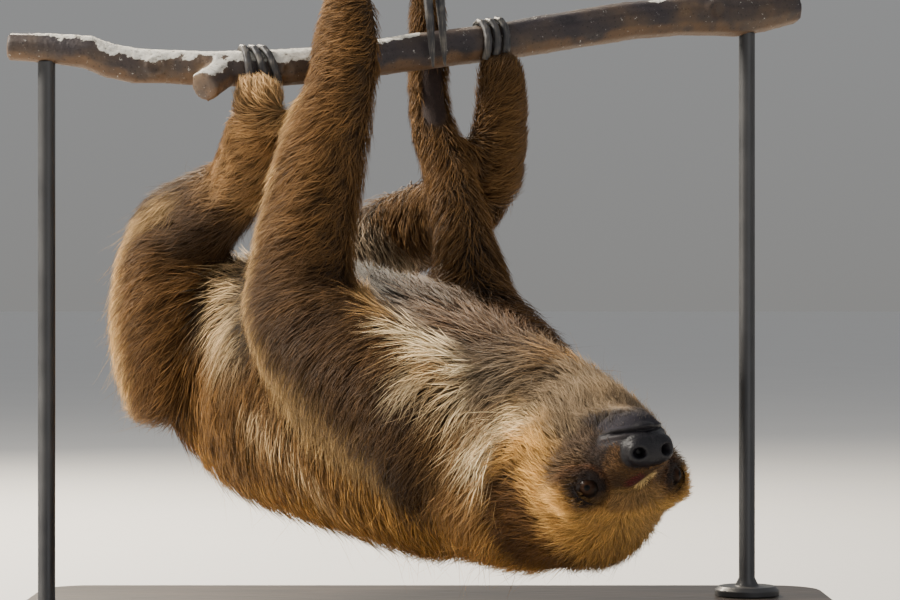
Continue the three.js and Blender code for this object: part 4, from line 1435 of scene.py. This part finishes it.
def bark_relief(mesh):
    """Ribs, knots and a crust moved out of the bark; the crust's and cut ends' places stored."""
    places, facing = points_of(mesh), normals_of(mesh)
    rough = noise(places, 24 * MM, 31) + 0.7 * noise(places, 9 * MM, 32)
    rough += 0.5 * noise(places, 4 * MM, 33)
    # painted highlight: the pale crust reaches further down over the part of the branch where the light
    # falls
    painted_light = ease(places[:, 0], -0.275, -0.235) * ease(places[:, 0], 0.02, -0.05)
    crust = ease(facing[:, 2] + 0.42 * rough + 0.75 * painted_light, 1.12, 1.3)
    stretched = places * np.array([0.3, 1, 1])
    ribs = noise(stretched, 3.0 * MM, 34) + 0.5 * noise(places, 2.4 * MM, 35)
    out = 0.5 * noise(places, 26 * MM, 36) + 0.14 * ribs
    out += crust * (0.45 + 0.3 * noise(places, 3 * MM, 37))
    for x, z, size in KNOTS:  # a swelling with a puckered middle
        off = np.linalg.norm((places / MM - [x, places[:, 1].min() / MM, z])[:, ::2], axis=1) / size
        front = ease(-facing[:, 1], 0.1, 0.6)
        out += front * (1.3 * np.exp(-((off - 0.9) ** 2) / 0.12) - 1.6 * np.exp(-((off / 0.5) ** 2)))
    end_face = ease(np.abs(facing[:, 0]), 0.8, 0.95)
    set_points(mesh, places + facing * (out * (1 - end_face) * MM)[:, None])
    keep_values(mesh, "crust", crust * (1 - 0.8 * end_face))
    keep_values(mesh, "cut", end_face)
    keep_values(mesh, "under", ease(facing[:, 2] + 0.3 * rough, -0.25, -0.8))


bark_relief(branch.data)


def bark_look(tree):
    place = here(tree)
    broad, fine = grain(tree, 26.0, 5.0, place), grain(tree, 260.0, 6.0, place, Roughness=0.7)
    spots = node(tree, "ShaderNodeTexVoronoi", {"Vector": place, "Scale": 330.0})
    bark = colour_ramp(tree, broad, [
        (0.32, (0.012, 0.01, 0.013)), (0.44, (0.04, 0.03, 0.032)), (0.56, (0.06, 0.042, 0.034)),
        (0.72, (0.14, 0.085, 0.045)),
    ])
    under = maths(tree, "MULTIPLY", stored(tree, "under", VALUE), 0.75)
    bark = blended(tree, under, bark, (0.16, 0.085, 0.036, 1))
    lichen = colour_ramp(tree, fine, [
        (0.32, (0.1, 0.09, 0.07)), (0.42, (0.6, 0.57, 0.5)), (0.68, (0.86, 0.84, 0.77)),
    ])
    ragged = maths(tree, "SUBTRACT", fine, 0.5)
    edge = maths(tree, "MULTIPLY_ADD", ragged, 2.6, stored(tree, "crust", VALUE))
    edge = ranged(tree, edge, 0.35, 0.6, 0.0, 1.0)
    colour = blended(tree, edge, bark, lichen)
    speck = ranged(tree, spots, 0.05, 0.28, 0.45, 1.0)
    colour = blended(tree, 1.0, colour, speck, "MULTIPLY")
    wood = colour_ramp(tree, fine, [(0.3, (0.07, 0.036, 0.02)), (0.7, (0.17, 0.095, 0.05))])
    colour = blended(tree, stored(tree, "cut", VALUE), colour, wood)
    height = maths(tree, "ADD", fine, maths(tree, "MULTIPLY", spots, 0.4))
    rough = ranged(tree, edge, 0.0, 1.0, 0.6, 0.92)
    return {"Base Color": colour, "Roughness": rough, "Normal": bump(tree, height, 0.0008, 0.7)}


branch.data.materials.append(finish("bark and lichen", bark_look))
print("branch:", len(branch.data.polygons), "faces")

# %% [markdown]
# ## The stand
#
# A museum would set the branch on two slim steel rods over a heavy plate of dark stained
# wood.  The rods' nodes are coarse, so turned copies with the same profile replace them.

# %% Rods
ROD_RADIUS, ROD_FOOT, FOOT_THICK, FOOT_SLOPE = 6 * MM, 24 * MM, 7 * MM, 3 * MM


def bevelled(piece, width, **options):
    """Rounds a piece's sharp edges and works the rounding into its mesh."""
    rounded = piece.modifiers.new("edges", "BEVEL")
    rounded.width, rounded.limit_method = width, "ANGLE"
    for option, value in options.items():
        setattr(rounded, option, value)
    piece.data = finished_mesh(piece)
    piece.modifiers.clear()
    return piece


def rod_piece(name, node_name):
    low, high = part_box(node_name)
    middle = (low + high) / 2
    profile = [
        (0, 0), (ROD_FOOT, 0), (ROD_FOOT, FOOT_THICK - FOOT_SLOPE),
        (ROD_FOOT - FOOT_SLOPE, FOOT_THICK), (ROD_RADIUS + FOOT_SLOPE, FOOT_THICK),
        (ROD_RADIUS, FOOT_THICK + 2 * FOOT_SLOPE), (ROD_RADIUS, high.z - low.z), (0, high.z - low.z),
    ]
    shape = bmesh.new()
    ring = [shape.verts.new((middle.x + r, middle.y, low.z + z)) for r, z in profile]
    for a, b in zip(ring[:-1], ring[1:]):
        shape.edges.new((a, b))
    bmesh.ops.spin(
        shape, geom=shape.verts[:] + shape.edges[:], cent=(middle.x, middle.y, 0), axis=(0, 0, 1),
        angle=2 * math.pi, steps=48)
    bmesh.ops.remove_doubles(shape, verts=shape.verts, dist=0.02 * MM)
    bmesh.ops.recalc_face_normals(shape, faces=shape.faces)
    mesh = mesh_of(name, shape)
    mesh.shade_smooth()
    return bevelled(piece_from(name, mesh), 0.6 * MM, segments=2, harden_normals=True)


def steel_look(tree):
    peel, wear = grain(tree, 700.0), grain(tree, 30.0, 4.0)
    colour = colour_ramp(tree, wear, [(0.3, (0.03, 0.03, 0.032)), (0.7, (0.05, 0.05, 0.052))])
    rough = ranged(tree, wear, 0.3, 0.7, 0.38, 0.52)
    return {"Base Color": colour, "Roughness": rough, "Normal": bump(tree, peel, 0.0001, 0.4)}


STEEL = finish("painted steel", steel_look, Metallic=0.0, Coat_Weight=0.2)
rods = {side: rod_piece(f"rod_{side}", f"stand_rod_{side}") for side in ("left", "right")}
for rod in rods.values():
    rod.data.materials.append(STEEL)


# %% Base plate
def base_piece():
    """The plate with softly rounded edges, from the node's own outline."""
    shape = merged("stand_base")
    flat = math.radians(2)
    bmesh.ops.dissolve_limit(shape, angle_limit=flat, verts=shape.verts, edges=shape.edges)
    plate = piece_from("base_plate", mesh_of("base_plate", shape))
    bevelled(plate, 1.5 * MM, segments=3, angle_limit=math.radians(25))
    plate.data.shade_smooth()
    return plate


def wood_look(tree):
    rings = grain(tree, 4.0, 8.0, drawn_out(tree, 2.0, 22.0, 22.0), Distortion=0.8)
    pores = grain(tree, 1.0, 2.0, drawn_out(tree, 40.0, 900.0, 900.0))
    colour = colour_ramp(tree, rings, [
        (0.32, (0.022, 0.015, 0.011)), (0.5, (0.042, 0.029, 0.021)), (0.68, (0.066, 0.047, 0.034)),
    ])
    rough = ranged(tree, pores, 0.3, 0.7, 0.34, 0.5)
    return {"Base Color": colour, "Roughness": rough, "Normal": bump(tree, pores, 0.0002, 0.5)}


base = base_piece()
base.data.materials.append(finish("black-brown wood", wood_look, Coat_Weight=0.15))
print("stand finished")

# %% [markdown]
# ## Riding the frame
#
# Each new piece rides on the one body of the model and stands for the nodes it replaces.
# The skin stands for all the flesh.

# %% Ride and replace
slots = {row[0]: row[1] for row in PIECES}
rows = [(skin, FLESH, "bare_skin")]  # the piece, the nodes it replaces and its slot
rows += [(piece, [], slots[name.replace("strays", "coat")]) for name, piece in coat_pieces.items()]
rows += [(eye, ["eye_" + side], "eye") for side, eye in eyes.items()]
rows += [(claw, [node_name], "claw") for node_name, claw in claws.items()]
rows += [(rod, ["stand_rod_" + side], "rod_steel") for side, rod in rods.items()]
rows += [(branch, ["perch_branch"], "bark"), (base, ["stand_base"], "base_wood")]
for piece, nodes, slot in rows:
    if nodes:
        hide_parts(*nodes)
    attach(piece, "root")
print(len(rows), "pieces ride on the root")

# %% [markdown]
# ## Stage, light and camera
#
# A plain pale floor and a pale sky of soft light.  The main light is large and comes from
# the upper left, a second one from behind rims the fur, and a weak one fills the right.

# %% Stage
FLOOR_HALF = 60
shape = bmesh.new()
bmesh.ops.create_grid(shape, x_segments=1, y_segments=1, size=FLOOR_HALF)
floor = piece_from("floor", mesh_of("floor", shape))


def floor_look(tree):
    pale = [(0.0, (0.74, 0.73, 0.71)), (1.0, (0.78, 0.77, 0.75))]
    return {"Base Color": colour_ramp(tree, grain(tree, 3.0), pale)}


floor.data.materials.append(finish("pale floor", floor_look, Roughness=0.9))

world = bpy.data.worlds.new("soft room")
world.use_nodes = True
sky = world.node_tree
direction = node(sky, "ShaderNodeTexCoord", output=0)
height = node(sky, "ShaderNodeSeparateXYZ", [direction], output=2)
glow = colour_ramp(sky, height, [
    (0.0, (0.66, 0.655, 0.64)), (0.12, (0.72, 0.73, 0.74)), (0.6, (0.9, 0.92, 0.95)),
])
SKY_STRENGTH = 0.4
sky.links.new(glow, sky.nodes["Background"].inputs["Color"])
sky.nodes["Background"].inputs["Strength"].default_value = SKY_STRENGTH
bpy.context.scene.world = world

# %% Lamps
LAMPS = [  # name, place, size in metres, watts and colour
    ("key", (-2.0, 0.0, 1.7), 0.6, 140, (1.0, 0.93, 0.82)),
    ("rim", (-0.7, 1.6, 1.5), 0.6, 66, (1.0, 0.88, 0.7)),
    ("fill", (1.2, -2.0, 1.0), 1.6, 8, (0.96, 0.97, 1.0)),
]
AIM = (0, 0, 0.25)  # the middle of the animal


def lamp(name, at, size, power, colour):
    data = bpy.data.lights.new(name, "AREA")
    data.size = size
    data.energy = power
    data.color = colour
    light = bpy.data.objects.new(name, data)
    light.location = at
    light.rotation_euler = (Vector(AIM) - Vector(at)).to_track_quat("-Z", "Y").to_euler()
    light.visible_camera = False
    bpy.context.scene.collection.objects.link(light)


for row in LAMPS:
    lamp(*row)

# %% Camera
LENS, FRAME_WIDTH = 120, 36  # millimetres
CAMERA_AT = (0.015, -2.060, 0.240)
camera_data = bpy.data.cameras.new("camera")
camera_data.lens, camera_data.sensor_width = LENS, FRAME_WIDTH
camera = bpy.data.objects.new("camera", camera_data)
camera.location = CAMERA_AT
camera.rotation_euler = (math.pi / 2, 0, 0)  # level, looking along +Y
bpy.context.scene.collection.objects.link(camera)
bpy.context.scene.camera = camera
